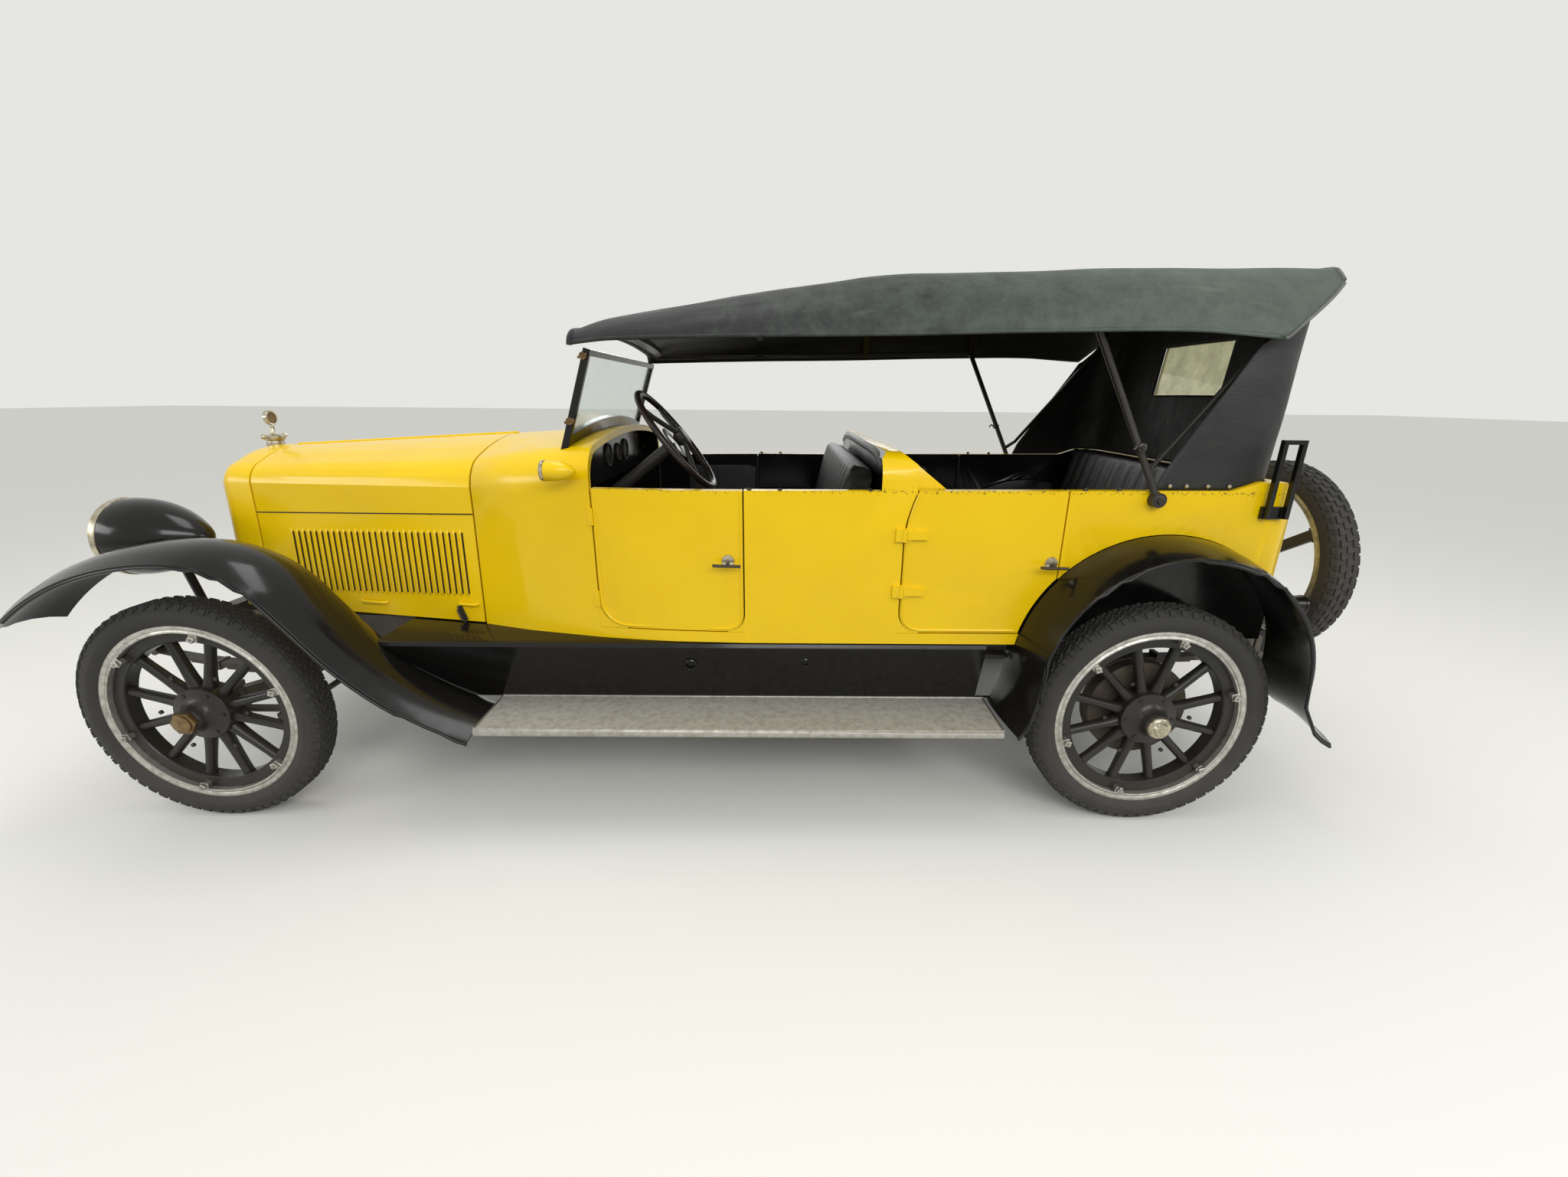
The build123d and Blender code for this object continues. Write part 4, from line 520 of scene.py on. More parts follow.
def drum():
    """Rear brake drum with its lip and band."""
    bm = bmesh.new()
    lathe(bm,
          [(48, 36), (150, 36), (174, 38), (178, 42), (178, 50), (175, 52), (175, 90), (178, 93), (178, 98),
           (170, 98), (170, 46), (48, 46)], 64, True)
    return bm


wheel_places = {
    name: Matrix.Translation((station, side * 711, 412)) @ (MIRROR if side > 0 else Matrix())
    for name, station,
    side in (("front_left", 0, -1), ("front_right", 0, 1), ("rear_left", 3302, -1), ("rear_right", 3302, 1))
}
for name, spot in wheel_places.items():
    rear = name.startswith("rear")
    body = bodies_of[name + "_wheel"]
    for part, shape, slot, surface in (
        ("spokes", wheel_wood(), "wheel_enamel", wood_black), ("rim", wheel_rim(), "rim_steel", silver),
        ("clamps", wheel_clamps(), "rim_steel", silver),
        ("hub", wheel_hub(), "wheel_enamel", hub_black),
        ("cap", hub_cap(rear), "cap_nickel", nickel if rear else brass),
    ):
        whole = bmesh.new()
        join(whole, shape, spot)
        piece = finish(f"{name}_{part}", whole, body, slot, surface)
        if part == "spokes":
            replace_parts(piece, name + "_wheel")
    if rear:
        whole = bmesh.new()
        join(whole, drum(), spot)
        finish(name + "_drum", whole, body, "wheel_enamel", drum_iron)

# The tyres: black vulcanised rubber gone grey with dust, with a ridged sidewall and a moulded
# non-skid tread of crossed bars. The carcass is turned, and one pitch of tread blocks is copied round it.
# The spare has coarser blocks, and stands on its own bare rim at the back.


def rubber(name, hue, dust):
    """Old moulded rubber, with dust caught in its grain."""
    material, tree, output = blank(name)
    where = add(tree, "ShaderNodeTexCoord")
    grain = speckle(tree, where, 3, 5.0, 0.7)
    shade = tint(tree, (speckle(tree, where, 60, 6.0, 0.7), "Fac"), hue, "20201F")
    colour, cloud = dusty(tree, where, (shade, 2), dust, 1.1, "77736A")
    bump = add(tree, "ShaderNodeBump", {"Strength": 0.35, "Distance": 0.0008}, {"Height": (grain, "Fac")})
    skin_of = add(tree, "ShaderNodeBsdfPrincipled", {"Roughness": 0.82, "IOR": 1.5},
                  {"Base Color": (colour, 2), "Normal": (bump, "Normal")})
    tree.links.new(skin_of.outputs[0], output.inputs[0])
    return material


# Tyres: dark grey, paler where dust lies.
tyre_black = rubber("dusty_vulcanised_rubber", "121212", 0.26)


def tyre_form(pitches, coarse):
    """Carcass and tread about the Y axis."""
    bm = bmesh.new()
    turn = 2 * math.pi / pitches
    pitch = 408 * turn
    if coarse:
        bars = ((0, 0, 0.62 * pitch, 20, 0), (24, 0.5 * pitch, 0.62 * pitch, 18, 0),
                (-24, 0.5 * pitch, 0.62 * pitch, 18, 0))
    else:
        bars = [(s * 7, s * 0.25 * pitch, 0.66 * pitch, 5.5, s * 38) for s in (-1, 1)]
        bars += [(s * 21, -s * 0.2 * pitch, 0.6 * pitch, 5, -s * 38) for s in (-1, 1)]
        bars += [(s * 31, s * 0.2 * pitch, 0.36 * pitch, 6, 0) for s in (-1, 1)]
    for y, shift, length, width, angle in bars:
        spin = Matrix.Rotation(math.radians(angle), 4, "Z")
        box(bm, (shift - length / 2, shift + length / 2), (y - width / 2, y + width / 2), (403, 411.4), spin)
    for side in (-1, 1):
        lean = Matrix.Rotation(side * math.radians(-50), 4, "X")
        box(bm, (-0.28 * pitch, 0.28 * pitch), (side * 46 - 10, side * 46 + 10), (391, 400), lean)
        box(bm, (0.32 * pitch, 0.5 * pitch), (side * 42 - 6, side * 42 + 6), (397, 404), lean)
    bmesh.ops.bevel(bm, geom=bm.edges[:], offset=1.0, segments=1, profile=0.5, affect="EDGES", material=-1,
                    clamp_overlap=True)
    round_about(bm, pitches)
    half = [(317.6, 36), (326, 40), (332, 47.5), (345, 55), (357, 58.3), (361, 59), (363, 58.2), (372, 57.6),
            (380, 55.4), (390, 50), (398, 44), (404, 37), (406.5, 26), (407, 0)]
    lathe(bm, half + [(r, -y) for r, y in reversed(half[:-1])], 160, True)
    return bm


for name, spot in wheel_places.items():
    whole = bmesh.new()
    join(whole, tyre_form(64, False), spot)
    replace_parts(finish(name + "_tyre_tread", whole, bodies_of[name + "_tyre"], "tyre_rubber", tyre_black),
                name + "_tyre")
spare_spot = Matrix.Translation((4184, 0, 821)) @ Matrix.Rotation(math.radians(-2.9), 4,
                                                                  "Y") @ Matrix.Rotation(math.pi / 2, 4, "Z")
whole = bmesh.new()
join(whole, tyre_form(54, True), spare_spot)
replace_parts(finish("spare_tyre_tread", whole, "car", "tyre_rubber", rubber("greyed_spare_rubber", "1C1C1B", 0.5)),
            "spare_tyre")
whole = bmesh.new()
join(whole, wheel_rim(), spare_spot)
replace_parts(finish("spare_rim_rolled", whole, "car", "rim_steel", silver), "spare_rim")

# The hood's louvres: twenty-nine pressed fins a side in the side panel, all in the panel's own yellow enamel, each open
# at its rear edge, where a dark box paints the shade of the engine bay behind it. One fin is swept and set along the
# panel.
# The seam at the shoulder, the piano hinge's line, carries cracked paint and rust.
# A dark grimy enamel for the seam and the dial faces; behind the louvres the same dark is painted shade.
dark_and_painted_shade = enamel("dark_grime_and_painted_shade", "0A0908", "17120C", "2A2018", 0.8, 0.1)


def side_point(x, z, out=0.0):
    """A point on the left hood side panel's outside."""
    share = (x + 30) / 935
    foot, hinge, hinge_z = 318 + 174 * share, 292 + 176 * share, 1035 + 31 * share
    return Vector((x, -(foot + (hinge - foot) * (z - 661) / (hinge_z - 661)) - out, z))


def side_frame(x, z, out=0.0):
    """A matrix with X back along the hood side, Y inward and Z up the panel."""
    spot = side_point(x, z, out)
    back = (side_point(x + 1, z) - side_point(x, z)).normalized()
    rise = (side_point(x, z + 1) - side_point(x, z)).normalized()
    inward = rise.cross(back).normalized()
    return Matrix.Translation(spot) @ Matrix((back, inward, rise)).transposed().to_4x4()


LOUVRE = ((-8, 1), (-5, -3.5), (1, -7.5), (6.5, -8.5), (8, -7), (7, 1))
fins, louvre_shade_boxes = bmesh.new(), bmesh.new()
for k in range(29):
    x = 118 + 720 / 28 * k
    frame_at = side_frame(x, 854 + k)
    rows = [(-125, 0.15), (-118, 0.7), (-110, 1), (110, 1), (118, 0.7), (125, 0.15)]
    ends = [frame_at @ Matrix.Translation((0, 0.9, z)) @ Matrix.Diagonal((1, share, 1, 1)) for z, share in rows]
    sweep(fins, ends, outline=LOUVRE)
    # A dark box in each fin's slot paints the shade of the engine bay behind it.
    one = bmesh.new()
    box(one, (7.2, 12.5), (-2.6, 0.6), (-115, 115))
    join(louvre_shade_boxes, one, frame_at)
seam = [side_point(x, 1035 + 31 * (x + 30) / 935, 0.3) for x in range(-22, 899, 20)]
line = bmesh.new()
tube(line, seam, 2.3, 8)
handle = bmesh.new()
for x, z, reach in ((440, 712, 56), (842, 730, 38)):
    lever = [side_frame(x, z, d) @ Vector((a * reach, 0, 0)) for a, d in ((-1, 1), (-0.8, 14), (0.8, 14), (1, 1))]
    tube(handle, lever, 5.5, 10)
LATCH_X, LATCH_Z, LATCH_TILT = 812, 692, math.radians(-22)
latch, one = bmesh.new(), bmesh.new()
box(one, (-9, 9), (-7, 1), (-30, 30))
tube(one, [(0, -8, 26), (0, -20, 14), (0, -20, -26), (0, -8, -36)], 4, 8)
for z in range(-20, 21, 6):
    lathe(one, [(8.5, -1.2), (10.5, 0), (8.5, 1.2)], 12, True,
          Matrix.Translation((0, -13, z)) @ Matrix.Rotation(math.pi / 2, 4, "X"))
join(latch, one, side_frame(LATCH_X, LATCH_Z, 1) @ Matrix.Rotation(LATCH_TILT, 4, "Y"))
for side in ("left", "right"):
    body = bodies_of[f"hood_{side}_side"]
    for part, shape, slot, surface in (("louvres", fins, "body_enamel", yellow),
                                       ("louvre_painted_shade", louvre_shade_boxes, "body_enamel", dark_and_painted_shade),
                                       ("seam", line, "body_enamel", dark_and_painted_shade),
                                       ("handles", handle, "body_enamel", yellow),
                                       ("latches", latch, "spring_steel", drum_iron)):
        whole = bmesh.new()
        join(whole, shape.copy(), MIRROR if side == "right" else None)
        finish(f"hood_{side}_{part}", whole, body, slot, surface)

# The folding top's cloth: one sheet of rubberised duck, grey-green and dusty outside and black inside, drawn
# over its bows so that it sags between them, with a bound front roll and a welt along the valances.
# A grid is shaped over the top's sections, thickened, and its lower rear edge runs up on a slant.
TOP_ROWS = (
    (1340, 600, 1632, 560, 1672, 1700),
    (1480, 676, 1640, 575, 1712, 1750),
    (1860, 684, 1650, 565, 1775, 1820),
    (2300, 686, 1657, 560, 1838, 1876),
    (3230, 686, 1676, 560, 1870, 1905),
    (3722, 664, 1640, 556, 1872, 1896),
)
BOWS = (1350, 1400, 1900, 2430, 2962, 3600, 3715)


def top_row(x):
    """The top's section sizes at a station, on a smooth curve through the known ones."""
    last = len(TOP_ROWS) - 1
    i = max(k for k in range(last) if TOP_ROWS[k][0] <= x or k == 0)
    a, b = TOP_ROWS[i], TOP_ROWS[i + 1]
    t = (x - a[0]) / (b[0] - a[0])
    before, after = TOP_ROWS[max(i - 1, 0)], TOP_ROWS[min(i + 2, last)]
    values = []
    for k in range(1, 6):
        m0 = (b[k] - before[k]) / (b[0] - before[0]) * (b[0] - a[0]) if i else b[k] - a[k]
        m1 = (after[k] - a[k]) / (after[0] - a[0]) * (b[0] - a[0]) if i < last - 1 else b[k] - a[k]
        h = (2 * t**3 - 3 * t**2 + 1) * a[k] + (t**3 - 2 * t**2 + t) * m0 + (3 * t**2 - 2 * t**3) * b[k] + (t**3 - t**2) * m1
        values.append(min(h, a[k] + t * (b[k] - a[k]) + 3))
    return values


def hem_height(x):
    """Height of the top's lower edge where the slant raises it at the back, or nothing."""
    if x < 3430:
        return 0
    if x < 3511:
        return 1665 - (x - 3430) * 19 / 81
    return 1646 + (x - 3511) * 188 / 211


def top_point(x, v):
    """A point on the top's outside: v runs from -1 at the left lower edge over the roof to 1."""
    edge, low, shoulder, shoulder_z, crown = top_row(x)
    slack, rise = edge - shoulder, shoulder_z - low
    bay = next((a, b) for a, b in zip(BOWS, BOWS[1:]) if a <= x <= b or b == BOWS[-1])
    sag = math.sin(math.pi * (x - bay[0]) / (bay[1] - bay[0])) ** 2 * min((bay[1] - bay[0]) / 50, 11)
    bottom = max(low, hem_height(x))
    w = abs(v)
    if w > 0.62:
        s = (1 - w) / 0.38
        z = bottom + s * (shoulder_z - bottom)
        s = (z - low) / rise
        y = edge - slack * (0.5 * s**1.6 + 0.5 * s**4)
        y -= 2.5 * math.sin(min(s, 1) * math.pi) * (1 + math.sin(x / 37))
        z -= sag * 0.25 * s
    else:
        t = w / 0.62
        y = shoulder * (t * 1.04 - 0.04 * t**6)
        y = min(y, shoulder)
        z = shoulder_z + (crown - shoulder_z) * (1 - t**2) ** 0.92
        z -= sag * (0.25 + 0.75 * (1 - t**4))
    wave = noise.noise(Vector((x / 210, v * 2.2, 3.1))) * 2.6 * (1 - w**6)
    return Vector((x, math.copysign(y, v), z + wave - 3))


def duck(name, hue, dull, dust, painted_light_tone=None):
    """Rubber-coated cotton duck: a fine weave under a dull skin, scuffed and dusty, and, when given a lit tone, made
    paler towards the back and in blotches by painted light.
    """
    material, tree, output = blank(name)
    where = add(tree, "ShaderNodeTexCoord")
    shade = tint(tree, (ramp(tree, speckle(tree, where, 160, 7.0, 0.72), "Fac", 0.38, 0.66), "Result"), hue, dull)
    streak = add(tree, "ShaderNodeMapping", {"Scale": (3.0, 40.0, 9.0)}, {"Vector": (where, "Object")})
    scuff = add(tree, "ShaderNodeTexNoise", {"Scale": 1.0, "Detail": 6.0}, {"Vector": (streak, "Vector")})
    # Painted light: a paler tone laid on towards the back and in blotches, where the top is more lit.
    if painted_light_tone:
        axes = add(tree, "ShaderNodeSeparateXYZ", {}, {"Vector": (where, "Object")})
        back = ramp(tree, axes, "X", -0.5, 1.4, -0.22, 0.42)
        painted_light_and_blotches = add(tree, "ShaderNodeMath", {"operation": "ADD"},
                     {0: (back, "Result"), 1: (speckle(tree, where, 75, 9.0, 0.8), "Fac")})
        shade = tint(tree, (ramp(tree, painted_light_and_blotches, "Value", 0.42, 1.0), "Result"), (shade, 2), painted_light_tone)
    rubbed = tint(tree, (ramp(tree, scuff, "Fac", 0.62, 0.80, 0.0, dust), "Result"), (shade, 2), "6E7068")
    threads = add(tree, "ShaderNodeTexWave",
                  {"Scale": 260.0, "Distortion": 1.0, "Detail": 1.0, "bands_direction": "X"},
                  {"Vector": (where, "Object")})
    across = add(tree, "ShaderNodeTexWave",
                 {"Scale": 260.0, "Distortion": 1.0, "Detail": 1.0, "bands_direction": "Y"},
                 {"Vector": (where, "Object")})
    cloth = add(tree, "ShaderNodeMath", {"operation": "ADD"}, {0: (threads, "Fac"), 1: (across, "Fac")})
    bump = add(tree, "ShaderNodeBump", {"Strength": 0.22, "Distance": 0.0006}, {"Height": (cloth, "Value")})
    gloss = ramp(tree, scuff, "Fac", 0.3, 0.7, 0.42, 0.66)
    coat = add(tree, "ShaderNodeBsdfPrincipled", {"IOR": 1.5, "Specular IOR Level": 0.35, "Sheen Weight": 0.06},
               {"Base Color": (rubbed, 2), "Roughness": (gloss, "Result"), "Normal": (bump, "Normal")})
    tree.links.new(coat.outputs[0], output.inputs[0])
    return material


# The top: dull grey-green, made paler towards the back and in blotches by painted light.
top_outside = duck("grey_green_duck_painted_light", "0F1110", "171918", 0.45, "4C574E")
# The curtain: the same dark cloth, less scuffed and without the top's painted light.
curtain_outside = duck("dark_rubberised_duck", "0F1110", "181A19", 0.2)
# The lining: plain dull black.
top_inside = duck("black_duck_lining", "0E0E0E", "171716", 0.15)
# The welt: a binding along the valance, its paler colour a painted highlight on the rolled hem.
welt_painted_highlight = duck("welt_binding_painted_highlight", "6B6E67", "4A4C48", 0.4)


def grid_sheet(columns, rows, point):
    """A grid of so many cells shaped by a function of two numbers from 0 to 1."""
    bm = bmesh.new()
    bmesh.ops.create_grid(bm, x_segments=columns, y_segments=rows, size=0.5)
    for vert in bm.verts:
        vert.co = point(vert.co.x + 0.5, vert.co.y + 0.5)
    return bm


def thick_cloth(name, bm, outside, inside, thickness):
    """Finish a sheet with a thickness inward and its lining's material on the inside."""
    piece = finish(name, bm, "car", "top_cloth", outside, inside, sharp=80)
    solid = piece.modifiers.new("thickness", "SOLIDIFY")
    solid.thickness = thickness / 1000
    solid.offset = -1
    solid.material_offset = 1
    solid.use_even_offset = True
    return piece


def facing(piece, direction):
    """Turn a sheet's faces so that the middle one looks in a direction."""
    total = sum((polygon.normal * polygon.area for polygon in piece.data.polygons), Vector())
    if total.dot(Vector(direction)) < 0:
        piece.data.flip_normals()


canopy = thick_cloth("canopy_sheet", grid_sheet(110, 72, lambda a, b: top_point(1341 + a * 2379, 2 * b - 1)),
                     top_outside, top_inside, 4)
facing(canopy, (0, 0, 1))
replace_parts(canopy, "canopy")
bm = bmesh.new()
tube(bm, [top_point(1349, v / 20 - 1) + Vector((-1, 0, -2)) for v in range(41)], 9, 10)
for side in (-1, 1):
    tube(bm, [top_point(1346 + k * 27.2, side * 0.995) + Vector((0, -side * 1.5, 2)) for k in range(80)], 4.5, 8, 1.3)
finish("canopy_roll", bm, "car", "top_cloth", top_outside, sharp=60)
bm = bmesh.new()
for side in (-1, 1):
    tube(bm, [top_point(x, side * 0.995) + Vector((1, side * 1.0, 1)) for x in range(3514, 3716, 12)], 5, 8)
tube(bm, [top_point(3716, v / 20 - 1) for v in range(1, 40)], 5, 8)
finish("canopy_welt", bm, "car", "top_cloth", welt_painted_highlight, sharp=60)

# The back and quarter curtain: one sheet of the same duck, buttoned to the body and sewn to the top's rear bow,
# creased where it is drawn down, with a celluloid window in a pale bound frame and bright snap studs.
# A grid follows the curtain's rounded plan; the window's cells are left out.


def curtain_point(a, b):
    """A point on the curtain's outside: a from the left front edge round the back, b up from the belt."""
    u = 2 * a - 1
    z_flat = 1190 + b * 641
    t = (z_flat - 1190) / 645
    back, half, corner = min(3650 + 68 * t, 3714), 650 - 54 * t, 126
    front = 3226 + (z_flat - 1180) * 0.375 if z_flat < 1244 else 3250 + (z_flat - 1244) * 250 / 401.5
    if z_flat > 1645.5:
        front = 3511 + (z_flat - 1646) * 211 / 188
    front = min(front, back - 8)
    w = abs(u)
    if w < 0.28:
        plan = (back, 213.5 * w / 0.28)
    elif w < 0.48:
        plan = (back, 213.5 + (half - corner - 213.5) * (w - 0.28) / 0.2)
    else:
        tip = back - corner
        angle_end = 0 if front <= tip else math.asin(min((front - tip) / corner, 1))
        bend = (0.5 * math.pi - angle_end) * corner
        straight = max(tip - front, 0)
        s = (w - 0.48) / 0.52 * (bend + straight)
        if s < bend:
            angle = 0.5 * math.pi - s / corner
            plan = (tip + corner * math.sin(angle), half - corner + corner * math.cos(angle))
        else:
            plan = (tip - (s - bend), half)
    x, y = plan
    low = 1184 + 13 * (x - 1372) / 2071 if x < 3473 else 1197 + min((x - 3473) / 87, 1) * 29
    high = 1828 + 38 * max(0, min((598 - y) / 42, 1)) + 22 * (1 - min(y / 556, 1) ** 2) ** 0.92
    z = low + 1 + b * (high - low - 1)
    crease = math.sin((x - 3250) / 34 + z / 160) * 1.6 * max(0, 1 - w * 0.2) * math.sin(math.pi * b) if w > 0.6 else 0
    fold = noise.noise(Vector((u * 5, b * 3.5, 7.7))) * 3.0 * math.sin(math.pi * min(b, 0.98)) + crease - 3.5
    outward = Vector((0, 1, 0)) if w > 0.8 else Vector((1, 0, 0)) if w < 0.5 else Vector((0.7, 0.7, 0))
    spot = Vector((x, y, z)) + outward * fold
    return Vector((spot.x, math.copysign(spot.y, u), spot.z))


bm = grid_sheet(100, 54, curtain_point)
gap = [f for f in bm.faces if abs(f.calc_center_median().y) < 213 and 1499 < f.calc_center_median().z < 1691 and f.calc_center_median().x > 3600]
bmesh.ops.delete(bm, geom=gap, context="FACES")
rim = [e for e in bm.edges if e.is_boundary and all(abs(v.co.y) < 240 and 1470 < v.co.z < 1720 and v.co.x > 3600 for v in e.verts)]
hole_low = min(v.co.z for e in rim for v in e.verts)
hole_high = max(v.co.z for e in rim for v in e.verts)
curtain = thick_cloth("back_curtain_sheet", bm, curtain_outside, top_inside, 3)
facing(curtain, (1, 0, 0.01))
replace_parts(curtain, "back_curtain")


def curtain_back(z, out=0.0):
    """Station of the curtain's flat back at a height."""
    return 3650 + 68 * (z - 1190) / 645 + out


def clear(name, hue, rough, body=1.0):
    """Window glass or celluloid, seen through with a sheen and a little haze."""
    material, tree, output = blank(name)
    where = add(tree, "ShaderNodeTexCoord")
    smear = ramp(tree, speckle(tree, where, 70, 6.0, 0.7), "Fac", 0.35, 0.8, 0.02, 1 - body)
    through = add(tree, "ShaderNodeBsdfTransparent", {"Color": linear(hue)})
    haze = add(tree, "ShaderNodeBsdfDiffuse", {"Color": linear("B9B7A6")})
    shine = add(tree, "ShaderNodeBsdfGlossy", {"Roughness": rough, "Color": linear("FFFFFF")})
    slant = ramp(tree, add(tree, "ShaderNodeLayerWeight", {"Blend": 0.5}), "Facing", 0.45, 1.0, 0.03, 0.35)
    film = add(tree, "ShaderNodeMixShader", {}, {0: (smear, "Result"), 1: (through, 0), 2: (haze, 0)})
    both = add(tree, "ShaderNodeMixShader", {}, {0: (slant, "Result"), 1: (film, 0), 2: (shine, 0)})
    tree.links.new(both.outputs[0], output.inputs[0])
    return material


glass = clear("old_window_glass", "F2F6F4", 0.03, 0.94)
celluloid = clear("yellowed_celluloid", "F0ECD8", 0.16, 0.75)
low, high, half = hole_low - 3, hole_high + 3, 219
bm = bmesh.new()
corners = [(curtain_back(low, 2), -half, low), (curtain_back(low, 2), half, low), (curtain_back(high, 2), half, high),
           (curtain_back(high, 2), -half, high)]
for a, b in zip(corners, corners[1:] + corners[:1]):
    tube(bm, [a, b], 11, 8, 0.4)
finish("rear_window_frame", bm, "car", "top_cloth", duck("bleached_window_binding", "D8D2B8", "C4BB9A", 0.2), sharp=60)
bm = bmesh.new()
lean = Matrix.Rotation(math.atan(68 / 645), 4, "Y")
box(bm, (curtain_back(1595, -4.5), curtain_back(1595, -3.3)), (2 - half, half - 2), (low + 2, high - 2), lean)
finish("rear_window_celluloid", bm, "car", "pane_glass", celluloid)
bm = bmesh.new()
lathe(bm, [(0, -4), (4, -3.4), (6, -1.5), (7, 1), (0, 2)], 12)
stud = bm
bm = bmesh.new()
for x in (3275, 3330, 3400, 3470):
    join(bm, stud.copy(), Matrix.Translation((x, -652, 1211)))
twin(bm)
for y in range(-450, 451, 150):
    join(bm, stud.copy(), Matrix.Translation((3656, y, 1246)) @ Matrix.Rotation(math.pi / 2, 4, "Z"))
finish("curtain_studs", bm, "car", "cap_nickel", nickel)

# The folding top's frame: steam-bent ash bows painted black, iron side arms on a pivot stud each side, and
# saddle brackets at the rear corners, with forged knuckles and thumb nuts.
iron = enamel("brushed_black_forged_iron", "0D0D0D", "181716", "3B2C20", 0.30, 0.3)
skin("top_bows", "bow_wood", iron)
skin("top_rests", "frame_enamel", black, 3)
bm = bmesh.new()
for x, y, z, r in ((3224, -680, 1170, 17), (3141, -677, 1335, 14)):
    lathe(bm, [(0, -20), (r * 0.5, -20), (r * 0.6, -15), (r, -13), (r, 8), (0, 9)], 24,
          place=Matrix.Translation((x, y, z)))
tube(bm, [(3141, -690, 1335), (3120, -694, 1342), (3112, -694, 1330)], 4, 8)
twin(bm)
finish("top_knuckles", bm, "car", "bow_wood", iron)

# The seats and trim: black pebbled leather over horsehair, sewn in upright pleats, with a roll along each top.
# Each pad is a subdivided block drawn in at its corners, crowned, and grooved along its pleats.
# The doors carry flat leather panels, and a leather roll caps the ridge behind the front seat.


def leather(name, hue, scuffed):
    """Old black leather: pebble grain, creases, and a dusty sheen on the high spots."""
    material, tree, output = blank(name)
    where = add(tree, "ShaderNodeTexCoord")
    grain = add(tree, "ShaderNodeTexVoronoi", {"Scale": 420.0, "Randomness": 1.0}, {"Vector": (where, "Object")})
    shade = tint(tree, (ramp(tree, speckle(tree, where, 55, 7.0, 0.7), "Fac", 0.45, 0.75), "Result"), hue, scuffed)
    crease = speckle(tree, where, 14, 8.0, 0.75)
    relief = add(tree, "ShaderNodeMath", {"operation": "ADD"}, {0: (grain, "Distance"), 1: (crease, "Fac")})
    bump = add(tree, "ShaderNodeBump", {"Strength": 0.35, "Distance": 0.0012}, {"Height": (relief, "Value")})
    gloss = ramp(tree, crease, "Fac", 0.3, 0.7, 0.34, 0.55)
    hide = add(tree, "ShaderNodeBsdfPrincipled", {"IOR": 1.5},
               {"Base Color": (shade, 2), "Roughness": (gloss, "Result"), "Normal": (bump, "Normal")})
    tree.links.new(hide.outputs[0], output.inputs[0])
    return material


# Seats: black with a pebbled sheen.
hide = leather("black_pebbled_leather", "121211", "2B2926")


def pad(place, size, pleats, groove, puff=0.16, power=7):
    """A stuffed pad in its own frame: X across the pleats, Y along them, Z out of its face."""
    bm = bmesh.new()
    bmesh.ops.create_cube(bm, size=2)
    cells = pleats * 6
    for axis, count in ((0, cells), (1, 14), (2, 5)):
        for k in range(1, count):
            normal = Vector([1 if i == axis else 0 for i in range(3)])
            bmesh.ops.bisect_plane(bm, geom=bm.verts[:] + bm.edges[:] + bm.faces[:],
                                   plane_co=normal * (2 * k / count - 1), plane_no=normal)
    for vert in bm.verts:
        a, b, c = vert.co
        r = (abs(a) ** 40 + abs(b) ** power + abs(c) ** power) ** (1 / power)
        r = max(r, 1e-6)
        phase = (a + 1) / 2 * pleats
        seam = abs(math.sin(math.pi * phase)) ** 0.5
        crown = 1 - puff * (1 - (1 - abs(a) ** 6) * (1 - b * b) ** 0.8)
        face = c / r * (crown if c > 0 else 1)
        edge_in = 1 - 0.03 * (1 - b * b) * abs(a) ** 3
        co = Vector((a * size[0] * edge_in / max(abs(a) ** 40, 1), b / r * size[1], face * size[2]))
        if c > 0.55:
            co.z -= groove * (1 - seam) * (1 - abs(b) ** 10)
        elif abs(b) > 0.9:
            co.y -= math.copysign(groove * 0.6 * (1 - seam), b)
        vert.co = place @ co
    return bm


def upholster(name, body, pads, fill, *gone):
    """Finish pads as one leather piece."""
    whole = bmesh.new()
    for one in pads:
        join(whole, one)
    piece = finish(name, whole, body, "seat_leather", hide, sharp=70)
    if gone:
        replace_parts(piece, *gone)
    return piece


def facing_frame(origin, across, along_, out):
    """A matrix from three directions and a middle."""
    return Matrix.Translation(origin) @ Matrix((Vector(across).normalized(), Vector(along_).normalized(),
                                                Vector(out).normalized())).transposed().to_4x4()


for name, x0, x1, top in (("front_seat", 1830, 2290, 1268), ("rear_seat", 2990, 3560, 1244)):
    seat_end = x1 - 96
    cushion = pad(facing_frame(((x0 + seat_end) / 2 - 4, 0, 944), (0, 1, 0), (-1, 0, 0), (0, 0, 1)),
                  (553, (seat_end - x0) / 2, 66), 13, 7)
    lean = Vector((-0.97, 0, 0.24))
    rise = Vector((0.24, 0, 0.97))
    deep = 50 if name == "front_seat" else 40
    middle = Vector((x1 - (50 if name == "front_seat" else 66), 0, (top + 895) / 2 - 4))
    rest_half = (top - 905) / 2
    wide = 552 if name == "front_seat" else 540
    rest = pad(facing_frame(middle, (0, 1, 0), -rise, lean), (wide, rest_half, deep), 13, 8)
    upholster(name + "_pads", "car", [cushion, rest], 0.7, name)
bm = bmesh.new()
tube(bm, [(2344, y, 1296 - 34 * (abs(y) / 640) ** 6) for y in range(-640, 641, 40)], 15, 12)
roll = finish("front_seat_roll", bm, "car", "seat_leather", hide, sharp=60)
